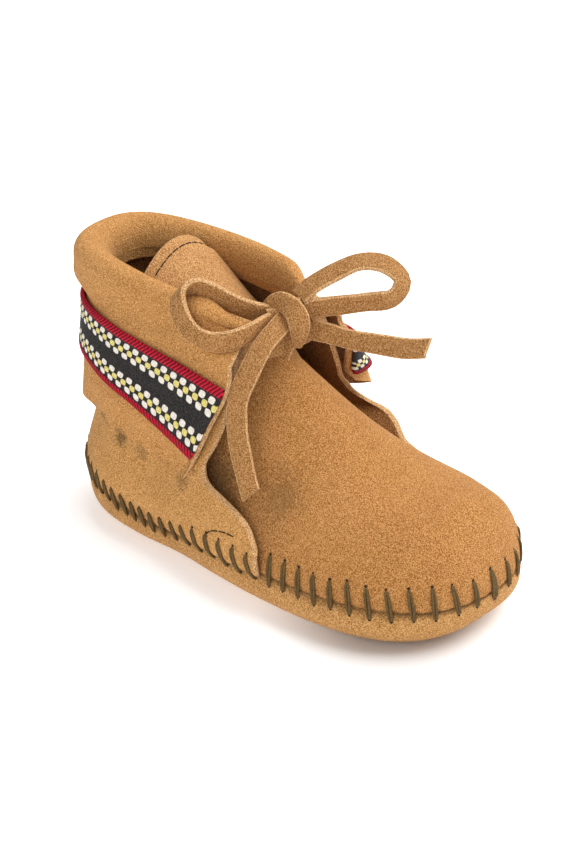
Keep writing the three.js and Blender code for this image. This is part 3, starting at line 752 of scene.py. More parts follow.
def dish(x, angle, depth):
    """Bowl sections across the foot, any depth of leather in from the outside."""
    across = np.sign(angle) * np.abs(np.sin(angle)) ** (2 / SOLE_POWER)
    down = np.abs(np.cos(angle)) ** (2 / SOLE_POWER)
    end = np.maximum(np.maximum(HEEL_X + SOLE_ROUND - x, x - TOE_X + SOLE_ROUND) / SOLE_ROUND, 0)
    rim = seam_z(x) - GAP / 2
    tread = tread_z(x) + depth
    fall = (rim - tread + SOLE_SINK) * oval(end, SOLE_END_POWER)
    z = np.maximum(rim - fall * down, tread)
    height = np.clip((rim - z) / (rim - tread), 0, 1)
    full = mix(SOLE_BULGE_HEEL, SOLE_BULGE, ease(*SOLE_BULGE_GROWS, x))
    swell = mix(full, SOLE_BULGE_TOE, ease(*SOLE_BULGE_FADES, x))
    bulge = 4 * height * (1 - height) * swell
    half = half_width(x) * (1 + (bulge - depth) / BALL_HALF)
    return np.stack([x * (1 + (bulge - depth) / TOE_X), half * across, z], axis=-1)


u, v = squares(200, 120)
x = mix(HEEL_X, TOE_X, bunched(u))
outside = dish(x, (v - 0.5) * np.pi, 0)
inside = dish(x, (v - 0.5) * np.pi, SOLE_SUEDE)
normals = facing(outside, inside)
clear = ease(*TREAD_CLEAR, outside[..., 2])
shift = clear * SOLE_UNEVEN * wander(outside, SOLE_WAVE, 31) - seam_pull(outside)
outside = outside + normals * shift[..., None]
sole_suede = suede("suede_sole", SOLE_TAN)
seam_dirt_and_shade = {"grime_and_shade": seam_darkening(outside)}
sole = panel("turned_up_sole", outside, inside, [sole_suede, suede_lining_and_shade, sole_suede], seam_dirt_and_shade)
dress(sole, "sole")

# %% [markdown]
# ## Insole
# A thin liner lies in the dish under the foot. It is cut to the flat bottom of the sole.

# %% Insole
INSOLE_THICK = 1.5
INSOLE_LENGTH_SHARE = 0.86
INSOLE_WIDTH_SHARE = 0.52
INSOLE_POWER = 4

u, v = squares(80, 40)
x = mix(HEEL_X, TOE_X, bunched(u)) * INSOLE_LENGTH_SHARE
angle = (v - 0.5) * np.pi * INSOLE_WIDTH_SHARE * oval(np.abs(2 * bunched(u) - 1), INSOLE_POWER)
top = dish(x, angle, SOLE_SUEDE + GAP + INSOLE_THICK)
under = dish(x, angle, SOLE_SUEDE + GAP)
insole = panel("insole_liner", top, under, [suede_lining_and_shade] * 3)
dress(insole, "insole")

# %% [markdown]
# ## Vamp
# The vamp is the blank that covers the toes and rises to the instep. Its sections are arches with a crown
# and a flank of different roundness, high and narrow by the throat and low and broad at the toe. A worn
# hollow beside the lace and two dark rubs are listed, and so is painted shade on the vamp behind the near
# wing's notch.

# %% Vamp
VAMP_BACK_TOP = -6
VAMP_BACK_SEAM = -17
NOSE_X = 44
NOSE_POWER = 2.2
RIDGE = np.array([
    (-20, 54, 1.6, 0.8), (-8, 48.4, 1.62, 0.86), (0, 43.6, 1.65, 0.95), (12, 35.8, 1.8, 1.2),
    (24, 30, 2, 1.7), (36, 27.1, 2.15, 2.1), (46, 26.3, 2.2, 2.2), (55, 22, 2.2, 2.2)])
VAMP_BACK_TURN = (0.5, 0.85)
VAMP_LEAST_RISE = 14
VAMP_UNEVEN = 0.15
VAMP_WAVE = 22
VAMP_HOLLOWS = [
    ((13, -15, 28), 9, 0.7), ((20, 18, 28), 12, 0.9), ((4, 6, 42), 12, -0.3), ((34, -8, 27), 14, -0.25)]
# The first two spots are rubs of dirt; the last two are painted shade where the vamp passes under the near
# wing.
VAMP_RUBS_AND_WING_SHADE = [
    ((11.4, -18.5, 24), 8, 0.4), ((9, -16, 29), 4, 0.3), ((-5, -19.3, 23), 8, 0.7), ((-2.5, -21, 20), 8, 0.6)]


def vamp_face(u, v, depth):
    angle = (v - 0.5) * np.pi
    side = np.abs(np.sin(angle))
    back = mix(VAMP_BACK_TOP, VAMP_BACK_SEAM, ease(*VAMP_BACK_TURN, side))
    x = TOE_X - (TOE_X - back) * (1 - np.cos(u * np.pi / 2))
    across = np.sign(angle) * side ** (2 / read(RIDGE, 2, x))
    up = np.abs(np.cos(angle)) ** (2 / read(RIDGE, 3, x))
    rim = seam_z(x) + GAP / 2
    rise = (read(RIDGE, 1, x) - rim) * oval((x - NOSE_X) / (TOE_X - NOSE_X), NOSE_POWER)
    height = rise * (1 - depth / np.maximum(rise, VAMP_LEAST_RISE))
    half = half_width(x) * (1 - depth / BALL_HALF)
    inset_x = x * (1 - depth * np.maximum(x, 0) / TOE_X ** 2)
    return np.stack([inset_x, half * across, rim + height * up], axis=-1)


u, v = squares(150, 180)
outside = vamp_face(u, v, 0)
inside = vamp_face(u, v, SUEDE)
normals = facing(outside, inside)
shift = VAMP_UNEVEN * wander(outside, VAMP_WAVE, 41) - hollows(outside, VAMP_HOLLOWS) - seam_pull(outside)
outside = outside + normals * shift[..., None]
vamp_suede = suede("suede_vamp", VAMP_TAN, stains_and_shade=VAMP_RUBS_AND_WING_SHADE)
seam_dirt_and_shade = {"grime_and_shade": seam_darkening(outside)}
vamp = panel("vamp", outside, inside, [vamp_suede, suede_lining_and_shade, vamp_suede], seam_dirt_and_shade)
dress(vamp, "upper")

# %% [markdown]
# ## The wall of the boot
# One strip of suede wraps the heel and ends in a wing on each side. A path from 0, the right front edge,
# through the heel to 1, the left one, says where round the boot a point is, and its height does the rest. The
# wall leans in from a bulge at the heel to the collar, and the left wing stands off the vamp.

# %% Wall of the boot
LEAN_FROM = 14
TOP_REAR = 25
TOP_HALF = 13.8
TOP_POWER = 2.5
BULGE = 0.9
BULGE_SPREAD = 6
HEEL_HOLLOW = 1.4
HEEL_HOLLOW_Z = 28
HEEL_HOLLOW_SPREAD = 8
HEEL_HOLLOW_TURN = (0.3, 0.6)
LEFT_FLARE = 6.8
LEFT_FLARE_X = (-20, -4)
LEFT_FLARE_GROWS = (18.5, 22.5)
LEFT_FLARE_FADES = (22.5, 35)
FRONT_CLOSE = 6
FRONT_RUN = 44
WING_LAP = 1.2
WING_LAP_X = (-18, 0)
COLLAR_Z = 57.7


def wall(path, z, offset, front_x, hollow=HEEL_HOLLOW):
    """A point of the quarter's wall at a height, moved out. The left wing stands off the vamp."""
    turn = np.abs(2 * path - 1)
    side = np.where(path < 0.5, -1, 1)
    lean = np.clip((z - LEAN_FROM) / (COLLAR_Z - LEAN_FROM), 0, 1)
    hollowed = np.exp(-((z - HEEL_HOLLOW_Z) / HEEL_HOLLOW_SPREAD) ** 2)
    tuck = hollow * hollowed * (1 - ease(*HEEL_HOLLOW_TURN, turn))
    swell = BULGE * np.exp(-((z - LEAN_FROM) / BULGE_SPREAD) ** 2) + offset - tuck
    half = mix(HEEL_HALF, TOP_HALF, lean) + swell
    angle = np.minimum(turn, 0.5) * np.pi
    power = mix(2, TOP_POWER, lean)
    rear = mix(HEEL_ROUND, TOP_REAR, lean) + swell
    heel_x = HEEL_CENTRE_X - rear * np.maximum(np.cos(angle), 0) ** (2 / power)
    heel_y = half * np.sin(angle) ** (2 / power)
    front = mix(HEEL_CENTRE_X, front_x, 2 * turn - 1)
    forward = (front - HEEL_CENTRE_X) / FRONT_RUN
    spread = (half_width(front) - HEEL_HALF + WING_LAP * ease(*WING_LAP_X, front)) * (1 - lean)
    flare = LEFT_FLARE * (side > 0) * ease(*LEFT_FLARE_X, front)
    flare = flare * ease(*LEFT_FLARE_GROWS, z) * (1 - ease(*LEFT_FLARE_FADES, z))
    front_y = half + spread + flare - lean * FRONT_CLOSE * forward ** 2
    x = np.where(turn < 0.5, heel_x, front)
    y = side * np.where(turn < 0.5, heel_y, front_y)
    return np.stack([x, y, z + 0 * x], axis=-1)


print(f"the wall leans in by {HEEL_HALF - TOP_HALF:.1f} mm a side")

# %% [markdown]
# ## Collar
# The rolled edge at the top is an oval, open at the front, that tilts and drops a little to its two ends. It
# runs along the same path as the wall. A second helper turns a path into a place along the foot, because the
# heights are kept in tables along the foot.

# %% Collar
COLLAR_X = -30.5
COLLAR_TILT = 0.03
COLLAR_REAR = 27.4
COLLAR_FRONT = 29
COLLAR_HALF = 14.7
COLLAR_POWER = 2.6
COLLAR_END_X = -5
COLLAR_END_DROP = 2.6
COLLAR_END_TURN = (0.8, 1)


def collar(path):
    """Middle of the rolled edge, on the same path."""
    turn = np.abs(2 * path - 1)
    side = np.where(path < 0.5, -1, 1)
    angle = np.minimum(turn, 0.5) * np.pi
    front = mix(COLLAR_X, COLLAR_END_X, 2 * turn - 1)
    rear = COLLAR_X - COLLAR_REAR * np.maximum(np.cos(angle), 0) ** (2 / COLLAR_POWER)
    x = np.where(turn < 0.5, rear, front)
    rear_y = COLLAR_HALF * np.sin(angle) ** (2 / COLLAR_POWER)
    front_y = COLLAR_HALF * oval((front - COLLAR_X) / COLLAR_FRONT, COLLAR_POWER)
    z = COLLAR_Z - COLLAR_TILT * (x - COLLAR_X) - COLLAR_END_DROP * ease(*COLLAR_END_TURN, turn)
    return np.stack([x, side * np.where(turn < 0.5, rear_y, front_y), z], axis=-1)


def station_x(path, front_x):
    """Place along the foot that a path stands for, to read the tables of heights."""
    turn = np.abs(2 * path - 1)
    heel = HEEL_CENTRE_X - HEEL_ROUND * np.cos(np.minimum(turn, 0.5) * np.pi)
    return np.where(turn < 0.5, heel, mix(HEEL_CENTRE_X, front_x, 2 * turn - 1))


print(f"collar {2 * COLLAR_HALF:.1f} mm across, {COLLAR_Z} mm above the floor")

# %% [markdown]
# ## Quarter
# The quarter is the wall from the seam to just under the rolled edge. Its wings are lapped over the vamp and
# sewn down with it. Above the wing it is cut back to a notch and then runs up to the throat. A table holds
# that front edge, by height. Listed dark spots by the flap's lower edge are painted shadow, where it lifts.

# %% Quarter
QUARTER_TOP_DROP = 4.6
ROW_CROWDING = 1.5
QUARTER_NAP = 0.8
QUARTER_UNEVEN = 0.15
QUARTER_WAVE = 18
# Painted shadow: dark spots on the quarter just under the flap's lower edge, where that edge stands off.
FLAP_EDGE_PAINTED_SHADOWS = [
    ((-43.1, -18.8, 26), 2.2, 0.55), ((-38.8, -20.5, 26.1), 2.4, 0.6), ((-32.5, -22, 24.2), 3, 0.7),
    ((-25.4, -22.3, 23.1), 2.6, 0.4), ((-11.7, -25, 22.1), 3.2, 0.5), ((-9.3, -24.6, 25.4), 2.4, 0.6)]
WING = np.array([
    (9, 14.4), (15.3, 13.4), (17, 11.8), (19.1, 9), (20.6, 5.2), (21.9, 0.4), (23.1, -4.4), (25.2, -6.6),
    (27.3, -6.8), (31.1, -5.2), (36, -4), (45, -4.4), (60, -5.4)])


def quarter_face(u, v, depth):
    low = seam_z(station_x(u, WING[0, 1])) + GAP / 6
    z = mix(low, collar(u)[..., 2] - QUARTER_TOP_DROP, v ** ROW_CROWDING)
    return wall(u, z, -depth, read(WING, 1, z))


u, v = squares(320, 110)
outside = quarter_face(u, v, 0)
inside = quarter_face(u, v, SUEDE)
normals = facing(outside, inside)
shift = QUARTER_UNEVEN * wander(outside, QUARTER_WAVE, 51) - seam_pull(outside)
outside = outside + normals * shift[..., None]
quarter_suede = suede("suede_quarter", QUARTER_TAN, nap=QUARTER_NAP, stains_and_shade=FLAP_EDGE_PAINTED_SHADOWS)
seam_dirt_and_shade = {"grime_and_shade": seam_darkening(outside)}
quarter = panel("quarter", outside, inside, [quarter_suede, suede_lining_and_shade, suede_edge], seam_dirt_and_shade)
dress(quarter, "upper")

# %% [markdown]
# ## The cuff's flap
# The top of the boot is a strip folded outwards, and its flap hangs down outside and carries the ribbon. The
# flap is the boot's wall moved straight out, more at the top than at its foot. On the left its front end
# swings out and curls in again.

# %% Flap
PATH_STEP = 0.002
FLAP_TOP_OFFSET = 3.9
FLAP_LOW_OFFSET = 2.2
FLAP_LOW_Z = 26
FLAP_SPAN = 30
FLAP_HEEL_TUCK = 1.5
FLAP_HEEL_TURN = (0.2, 0.6)
LEFT_SWING = 9
LEFT_SWING_FROM = 0.55
LEFT_SWING_TOP = 47
LEFT_SWING_LOW = 29
LEFT_SWING_FALL = 0.43
LEFT_REACH = 0.64
LEFT_LIFT = 2.2
LEFT_TIP_LIFT = 1.8
LEFT_CURL = 0.8
LEFT_CURL_FROM = 0.936
CUFF_FRONT = np.array([
    (21, -12), (24, -10.4), (29, -7.7), (36, -5.4), (44.5, -2.8), (50, -3.6), (58, COLLAR_END_X)])


def flap_offset(path, z):
    heel = 1 - ease(*FLAP_HEEL_TURN, np.abs(2 * path - 1))
    top = FLAP_TOP_OFFSET - FLAP_HEEL_TUCK * heel
    return mix(FLAP_LOW_OFFSET, top, np.clip((z - FLAP_LOW_Z) / FLAP_SPAN, 0, 1))


def flap_wall(path, z, offset):
    """The flap: the wall moved straight out. Its left front end swings out and curls in."""
    def bare(place):
        turn = np.abs(2 * place - 1)
        rise = (LEFT_SWING_TOP - z) / (LEFT_SWING_TOP - LEFT_SWING_LOW)
        below = 1 - LEFT_SWING_FALL * (LEFT_SWING_LOW - z) / LEFT_SWING
        share = np.clip(np.minimum(rise, below), 0, 1)
        swing = share * ease(LEFT_SWING_FROM, LEFT_CURL_FROM, turn) * (place > 0.5)
        curl = 1 - oval((turn - LEFT_CURL_FROM) / (1 - LEFT_CURL_FROM), 2)
        height = z + (LEFT_LIFT + LEFT_TIP_LIFT * curl) * swing
        reach = LEFT_REACH * np.maximum(LEFT_SWING_LOW - z, 0) * (place > 0.5)
        points = wall(place, height, 0, read(CUFF_FRONT, 1, height) + reach, hollow=0)
        points[..., 1] += LEFT_SWING * swing * (1 - LEFT_CURL * curl)
        return points

    along = bare(np.minimum(path + PATH_STEP, 1)) - bare(np.maximum(path - PATH_STEP, 0))
    out = unit(np.stack([-along[..., 1], along[..., 0], 0 * along[..., 0]], axis=-1))
    return bare(path) + out * (offset + 0 * z)[..., None]


print(f"the flap stands {FLAP_LOW_OFFSET} to {FLAP_TOP_OFFSET} mm off the quarter")

# %% [markdown]
# ## The cuff's section
# A section of the cuff is a short leg inside, a fat roll at the collar and the flap. It is a few points at
# each place on the path, joined by a smooth curve, which is how a maker would draw it. The flap's lower edge
# is pared thin and lies close. A table along the foot holds the foot of the flap and the ribbon's two edges.

# %% Section of the cuff
CUFF_INNER_LEG = 5
CUFF_KNEE_DROP = 2.8
CUFF_LEG_OFFSET = -3.4
ROLL_RADIUS = 3.2
ROLL_END_RADIUS = 1.5
ROLL_SIDES = 8
ROLL_SAG = 2.4
ROLL_END_TURN = (0.8, 1)
PILLOW_DROPS = (2.4, 4.8, 6.6)
PILLOW_HANG = 4.5
PILLOW_END_HANG = 0.5
PILLOW_TURN = (0.5, 0.85)
PILLOW_BLEND = 4
FLAP_ROLL_DROP = 8
FLAP_ROWS = 7
FLAP_END_X = -8
FLAP_PARE = 1.7
FLAP_PARE_RISE = 8
FLAP_PARE_TURN = (0.24, 0.34)
FLAP_EDGE = 0.35
FLAP_CLEAR = 0.1
LEFT_CORNER = 4
LEFT_CORNER_FROM = 0.88
BANDS = np.array([
    (-55, 27.5, 39.4, 49.6), (-48, 27.3, 38.7, 49.9), (-41, 26.8, 38.2, 49.8), (-36, 26, 37, 49.5),
    (-29, 25, 35, 48.6), (-22, 24.1, 32.8, 47.6), (-15.5, 23, 30.8, 46.5), (-8, 22, 28.8, 45)])


def cuff_section(path, depth):
    """Section points from the inner leg over the roll to the flap's foot, for each place on the path."""
    middle = collar(path)
    rows = []
    for drop in (CUFF_INNER_LEG, CUFF_KNEE_DROP):
        rows.append(wall(path, middle[:, 2] - drop, CUFF_LEG_OFFSET + depth, COLLAR_END_X))
    foot = wall(path, middle[:, 2], 0, COLLAR_END_X)
    out = unit((wall(path, middle[:, 2], 1, COLLAR_END_X) - foot) * (1, 1, 0))
    turn = np.abs(2 * path - 1)
    roll = mix(ROLL_RADIUS, ROLL_END_RADIUS, ease(*ROLL_END_TURN, turn)) * (1 - depth / ROLL_RADIUS)
    inward = np.maximum(roll, np.sum((middle - rows[-1]) * out, axis=1))
    for step in range(ROLL_SIDES + 1):
        angle = np.pi * (1 - step / ROLL_SIDES)
        inner = step < ROLL_SIDES / 2
        reach = math.cos(angle) * (inward if inner else roll)
        rise = roll - (1 - math.sin(angle)) * (roll + (ROLL_SAG if inner else 0))
        rows.append(middle + out * reach[:, None] + rise[:, None] * np.array([0, 0, 1]))
    for drop in PILLOW_DROPS:
        z = middle[:, 2] - drop
        hung = middle + out * roll[:, None] - np.array([0, 0, drop])
        flap = flap_wall(path, z, flap_offset(path, z) - depth)
        slack = drop - mix(PILLOW_HANG, PILLOW_END_HANG, ease(*PILLOW_TURN, turn))
        rows.append(mix(hung, flap, ease(0, PILLOW_BLEND, slack)[:, None]))
    corner = 1 - oval((turn - LEFT_CORNER_FROM) / (1 - LEFT_CORNER_FROM), 2)
    flap_z = read(BANDS, 1, station_x(path, FLAP_END_X)) + LEFT_CORNER * corner * (path > 0.5)
    for step in range(FLAP_ROWS + 1):
        z = mix(middle[:, 2] - FLAP_ROLL_DROP, flap_z, step / FLAP_ROWS)
        low = 1 - ease(flap_z, flap_z + FLAP_PARE_RISE, z)
        pared = FLAP_PARE * low * ease(*FLAP_PARE_TURN, turn)
        shown = flap_offset(path, z) - pared
        gauge = np.minimum(depth, np.maximum(shown - FLAP_CLEAR, FLAP_EDGE))
        rows.append(flap_wall(path, z, shown - gauge))
    return np.stack(rows, axis=1)


def smooth_rows(rows, finer):
    """A smooth curve through the section points, with that many pieces between two of them."""
    first = 2 * rows[:, :1] - rows[:, 1:2]
    last = 2 * rows[:, -1:] - rows[:, -2:-1]
    before = np.concatenate([first, rows, last], axis=1)
    a, b, c, d = before[:, :-3], before[:, 1:-2], before[:, 2:-1], before[:, 3:]
    parts = [glide(a, b, c, d, t) for t in np.arange(finer) / finer]
    curve = np.stack(parts, axis=2).reshape(rows.shape[0], -1, 3)
    return np.concatenate([curve, rows[:, -1:]], axis=1)


print("section points:", cuff_section(np.array([0.5]), 0).shape[1])

# %% [markdown]
# ## Cuff
# The sections along the path make the two faces of the cuff. The roll is lumpier than the flap, as a folded
# strip is, and its inside has painted shade, full on the inner leg and fading out over the roll's inner half.

# %% Cuff
CUFF_CALM = 0.12
CUFF_LUMPY = 0.4
CUFF_LUMPY_Z = (48, 57)
CUFF_WAVE = 17
SECTION_FINER = 5
COLLAR_PAINTED_SHADE = 0.22
COLLAR_PAINTED_SHADE_ROWS = (3, 6.5)


def cuff_shift(points):
    """Unevenness of the cuff: lumpy in the roll, calm on the flap."""
    roll = ease(*CUFF_LUMPY_Z, points[..., 2])
    return mix(CUFF_CALM, CUFF_LUMPY, roll) * wander(points, CUFF_WAVE, 61)


def cuff_path(share):
    """Places on the path, closer together towards the front edges."""
    return mix(share, bunched(share), 0.5)


path = cuff_path(np.linspace(0, 1, 321))
outside = smooth_rows(cuff_section(path, 0), SECTION_FINER)
inside = smooth_rows(cuff_section(path, SUEDE), SECTION_FINER)
normals = facing(outside, inside)
outside = outside + normals * cuff_shift(outside)[..., None]
# The cuff's flap takes the same painted shadow spots along its lower edge.
cuff_suede = suede("suede_cuff", CUFF_TAN, nap=QUARTER_NAP, stains_and_shade=FLAP_EDGE_PAINTED_SHADOWS)
section_row = np.arange(outside.shape[1]) / SECTION_FINER
# Painted shade: the inner leg and inner half of the roll are darkened, fading towards the top of the roll.
inner_roll_shade = COLLAR_PAINTED_SHADE * (1 - ease(*COLLAR_PAINTED_SHADE_ROWS, section_row)) + 0 * outside[..., 0]
cuff = panel("rolled_cuff", outside, inside, [cuff_suede, suede_lining_and_shade, suede_edge], {"grime_and_shade": inner_roll_shade})
dress(cuff, "cuff")

# %% [markdown]
# ## Woven ribbon
# A patterned ribbon is sewn along the flap. Its pattern is a small repeat, so it can be charted: a red twill
# edge on both sides, two chains of yellow dots with white petals on black, and a plain black middle. The mesh
# carries two numbers, millimetres along the ribbon and its share across, and the finish draws the chart from
# them with ovals. The petals and dots are also lifted, as the floating threads are.

# %% Ribbon finish
MOTIF_PITCH = 2.9
RIBBON_WIDTH = 14.0
CHAIN_ROWS = (0.25, 0.75)
PETAL_ROW = 1.15
PETAL_ALONG, PETAL_ACROSS = 0.92, 0.68
DOT_ALONG, DOT_ACROSS = 0.84, 0.66
EDGE_SHARE = 0.1
EDGE_SOFT = 0.004
TWILL_PITCH = 1.0
TWILL_SLOPE = 0.9
FUZZ_SIZE = 0.3
WEAVE_RELIEF = 0.35


def oval_mask(along, across, half_along, half_across):
    """1 inside a squarish oval, 0 outside, with a narrow soft rim."""
    squared = abs(along / half_along) ** 3 + abs(across / half_across) ** 3
    return 1 - squared.between(0.75, 1.15)


def ribbon_finish():
    material, shader, plug = new_finish("woven_ribbon", roughness=0.85)
    along = plug.node("ShaderNodeAttribute", {"attribute_name": "along"}, {}, out="Fac")
    across = plug.node("ShaderNodeAttribute", {"attribute_name": "across"}, {}, out="Fac")
    place = plug.node("ShaderNodeTexCoord", {}, {}, out="Object")
    fuzz = noise(plug, place, FUZZ_SIZE)
    petals = dots = None
    for row in CHAIN_ROWS:
        high = (across - row) * RIBBON_WIDTH
        at_dot = ((along / MOTIF_PITCH + 0.5).fraction() - 0.5) * MOTIF_PITCH
        at_petal = ((along / MOTIF_PITCH).fraction() - 0.5) * MOTIF_PITCH
        dot = oval_mask(at_dot, high, DOT_ALONG, DOT_ACROSS)
        petal = oval_mask(at_petal, abs(high) - PETAL_ROW, PETAL_ALONG, PETAL_ACROSS)
        dots = dot if dots is None else dots.larger(dot)
        petals = petal if petals is None else petals.larger(petal)
    edge = (abs(across - 0.5) - (0.5 - EDGE_SHARE)).between(-EDGE_SOFT, EDGE_SOFT)
    slope = ((along + TWILL_SLOPE * RIBBON_WIDTH * abs(across - 0.5)) / TWILL_PITCH).fraction()
    twill = 1 - abs(slope - 0.5) * 2
    ground = fuzz.between(0.3, 0.75).blend(linear(22, 20, 20), linear(62, 58, 56))
    white = fuzz.between(0.25, 0.75).blend(linear(206, 194, 180), linear(246, 240, 230))
    yellow = fuzz.between(0.25, 0.75).blend(linear(196, 178, 92), linear(236, 222, 140))
    red = twill.between(0.1, 0.6).blend(linear(70, 8, 18), linear(204, 26, 52))
    colour = petals.blend(ground, white)
    colour = dots.blend(colour, yellow)
    colour = edge.blend(colour, red)
    feed(shader, "Base Color", colour)
    height = petals.larger(dots) * 0.8 + edge * twill + 0.25 * fuzz
    bump = {"Strength": 1.0, "Distance": WEAVE_RELIEF * MM, "Height": height}
    feed(shader, "Normal", plug.node("ShaderNodeBump", {}, bump))
    return material


woven_ribbon = ribbon_finish()
print("ribbon repeat:", MOTIF_PITCH, "mm")

# %% [markdown]
# ## The ribbon on the cuff
# The ribbon follows the flap between two heights read from a table and is cut off along the cuff's front
# edge. Each row of its grid is measured from the heel, so the motifs keep their length. The twill edges and
# the two chains stand a little higher than the black ground, and the grid is lifted there.

# %% Ribbon
RIBBON_THICK = 0.8
CHAIN_LIFT = 0.14
CHAIN_SPREAD = 0.1
TWILL_LIFT = 0.22
TWILL_SPREAD = 0.6

path = cuff_path(np.linspace(0, 1, 401))
across = np.linspace(0, 1, 41)
station = station_x(path, FLAP_END_X)[:, None]
z = mix(read(BANDS, 2, station), read(BANDS, 3, station), across[None])


def ribbon_face(offset):
    spread_path = path[:, None] + 0 * z
    return flap_wall(spread_path, z, flap_offset(spread_path, z) + offset)


outside = ribbon_face(GAP + RIBBON_THICK)
inside = ribbon_face(GAP)
normals = facing(outside, inside)
chains = sum(np.exp(-(((across - row) / CHAIN_SPREAD) ** 2)) for row in CHAIN_ROWS)
twill = oval(np.abs(np.abs(across - 0.5) - 0.5 + EDGE_SHARE / 2) / (TWILL_SPREAD * EDGE_SHARE), 2)
relief = cuff_shift(outside) + CHAIN_LIFT * chains + TWILL_LIFT * twill
outside = outside + normals * relief[..., None]
steps = np.linalg.norm(np.diff(outside, axis=0), axis=2)
along = np.concatenate([np.zeros((1, len(across))), np.cumsum(steps, axis=0)])
along = along - along[len(path) // 2]
chart = {"along": along, "across": across[None] + 0 * along}
trim = panel("sewn_ribbon", outside, inside, [woven_ribbon] * 3, chart)
dress(trim, "trim")
print(f"ribbon {along[-1].mean() - along[0].mean():.0f} mm long")

# %% [markdown]
# ## Tongue
# The tongue goes on from the vamp behind the bow and leans back into the collar. It is an arched strip with a
# rounded top. Its parameter is crowded towards the top, where the outline turns.

# %% Tongue
TONGUE = np.array([
    (0, VAMP_BACK_TOP - GAP, 47.3, 10, 8.6, 1.62), (0.3, -14.6, 51.3, 10.8, 6.6, 1.8),
    (0.6, -23.8, 56.2, 10.6, 5.4, 2), (0.8, -30.4, 60, 10.6, 4.6, 2), (1, -36.6, 63.3, 10.6, 4.1, 2)])
TONGUE_ROUND = 0.12
TONGUE_TIP = 0.9
TONGUE_TILT = 0.09
TONGUE_SKEW = -0.08
TONGUE_GAUGE = 1.1
TONGUE_BACK = 0.5
TONGUE_BACK_RUN = 0.3
TONGUE_CROWDING = 1.6
TONGUE_UNEVEN = 0.25
TONGUE_WAVE = 14


def tongue_face(step, v, depth):
    u = 1 - (1 - step) ** TONGUE_CROWDING
    top = np.clip((u - 1 + TONGUE_ROUND) / TONGUE_ROUND, 0, 1)
    half = read(TONGUE, 3, u) * np.maximum(oval(top, 2), TONGUE_TIP)
    place = 2 * v - 1
    drop = read(TONGUE, 4, u) * np.abs(place) ** read(TONGUE, 5, u)
    y = half * place
    x = read(TONGUE, 1, u) + TONGUE_SKEW * u * y - TONGUE_BACK * depth * ease(0, TONGUE_BACK_RUN, u)
    return np.stack([x, y, read(TONGUE, 2, u) + TONGUE_TILT * u * y - drop - depth], axis=-1)


u, v = squares(90, 70)
outside = tongue_face(u, v, 0)
inside = tongue_face(u, v, TONGUE_GAUGE)
normals = facing(outside, inside)
outside = outside + normals * (TONGUE_UNEVEN * wander(outside, TONGUE_WAVE, 71))[..., None]
tongue_grid = outside
tongue_suede = suede("tongue_finish", TONGUE_TAN)
tongue = panel("suede_tongue", outside, inside, [tongue_suede, suede_lining_and_shade, suede_edge])
dress(tongue, "tongue")

# %% [markdown]
# ## Thread
# Sewing is done with waxed thread, and a strand of it is a thin tube along a line, round and closed at both
# ends. A finished piece can be turned into a tree of its faces, which answers fast where a ray hits it, and
# the stitches are laid on the leather with that. The thread's finish is a fine noise from dark to light.

# %% Thread
STRAND_SIDES = 7
STRAND_SKEW = np.array([0.31, 0.17, 0.93])
THREAD_FIBRE = 0.25
THREAD_RELIEF = 0.15
THREAD_DARK, THREAD_LIGHT = 0.45, 1.4


def tube(centre, radii):
    """Points and faces of a round strand along a line, with closed ends."""
    heading = unit(np.gradient(centre, axis=0))
    side = unit(np.cross(heading, STRAND_SKEW))
    other = np.cross(heading, side)
    turn = np.linspace(0, 2 * np.pi, STRAND_SIDES, endpoint=False)
    ring = side[:, None] * np.cos(turn)[None, :, None] + other[:, None] * np.sin(turn)[None, :, None]
    points = centre[:, None] + ring * np.asarray(radii)[:, None, None]
    index = np.arange(len(centre) * STRAND_SIDES).reshape(len(centre), STRAND_SIDES)
    near, far = index[:-1], index[1:]
    quads = np.stack([near, np.roll(near, -1, 1), np.roll(far, -1, 1), far], axis=-1).reshape(-1, 4)
    return points.reshape(-1, 3), quads.tolist() + [index[0, ::-1].tolist(), index[-1].tolist()]


def surface_of(*pieces):
    """A tree for casting rays at finished pieces, in millimetres."""
    corners, faces, start = [], [], 0
    for piece in pieces:
        corners += [vertex.co / MM for vertex in piece.data.vertices]
        faces += [[corner + start for corner in face.vertices] for face in piece.data.polygons]
        start = len(corners)
    return BVHTree.FromPolygons(corners, faces)


def thread_finish(name, colour):
    material, shader, plug = new_finish(name, roughness=0.7)
    place = plug.node("ShaderNodeTexCoord", {}, {}, out="Object")
    fibres = noise(plug, place, THREAD_FIBRE)
    dark = linear(*colour, gain=THREAD_DARK)
    light = linear(*colour, gain=THREAD_LIGHT)
    feed(shader, "Base Color", fibres.between(0.25, 0.75).blend(dark, light))
    bump = {"Strength": 0.8, "Distance": THREAD_RELIEF * MM, "Height": fibres}
    feed(shader, "Normal", plug.node("ShaderNodeBump", {}, bump))
    return material


OLIVE = (102, 79, 43)
# Dark brown: the topstitching thread's own colour, and painted shade for the stitch holes.
HOLE_SHADE_AND_THREAD_BROWN = (52, 36, 20)

olive_thread = thread_finish("olive_thread", OLIVE)
hole_shade_and_dark_thread = thread_finish("stitch_hole", HOLE_SHADE_AND_THREAD_BROWN)
print("thread finishes:", olive_thread.name, hole_shade_and_dark_thread.name)

# %% [markdown]
# ## Finding the leather
# A stitch has to lie on the leather as it was made, hollows and all. At a place on the seam, a ray is cast
# from outside straight in, and where it hits is how far out the leather is. A thread pulled tight over such a
# profile bridges its hollows, like a string round it.

# %% Finding the leather
RAY_START = 14
FORWARD_STEP = 0.5

leather = surface_of(sole, vamp, quarter)


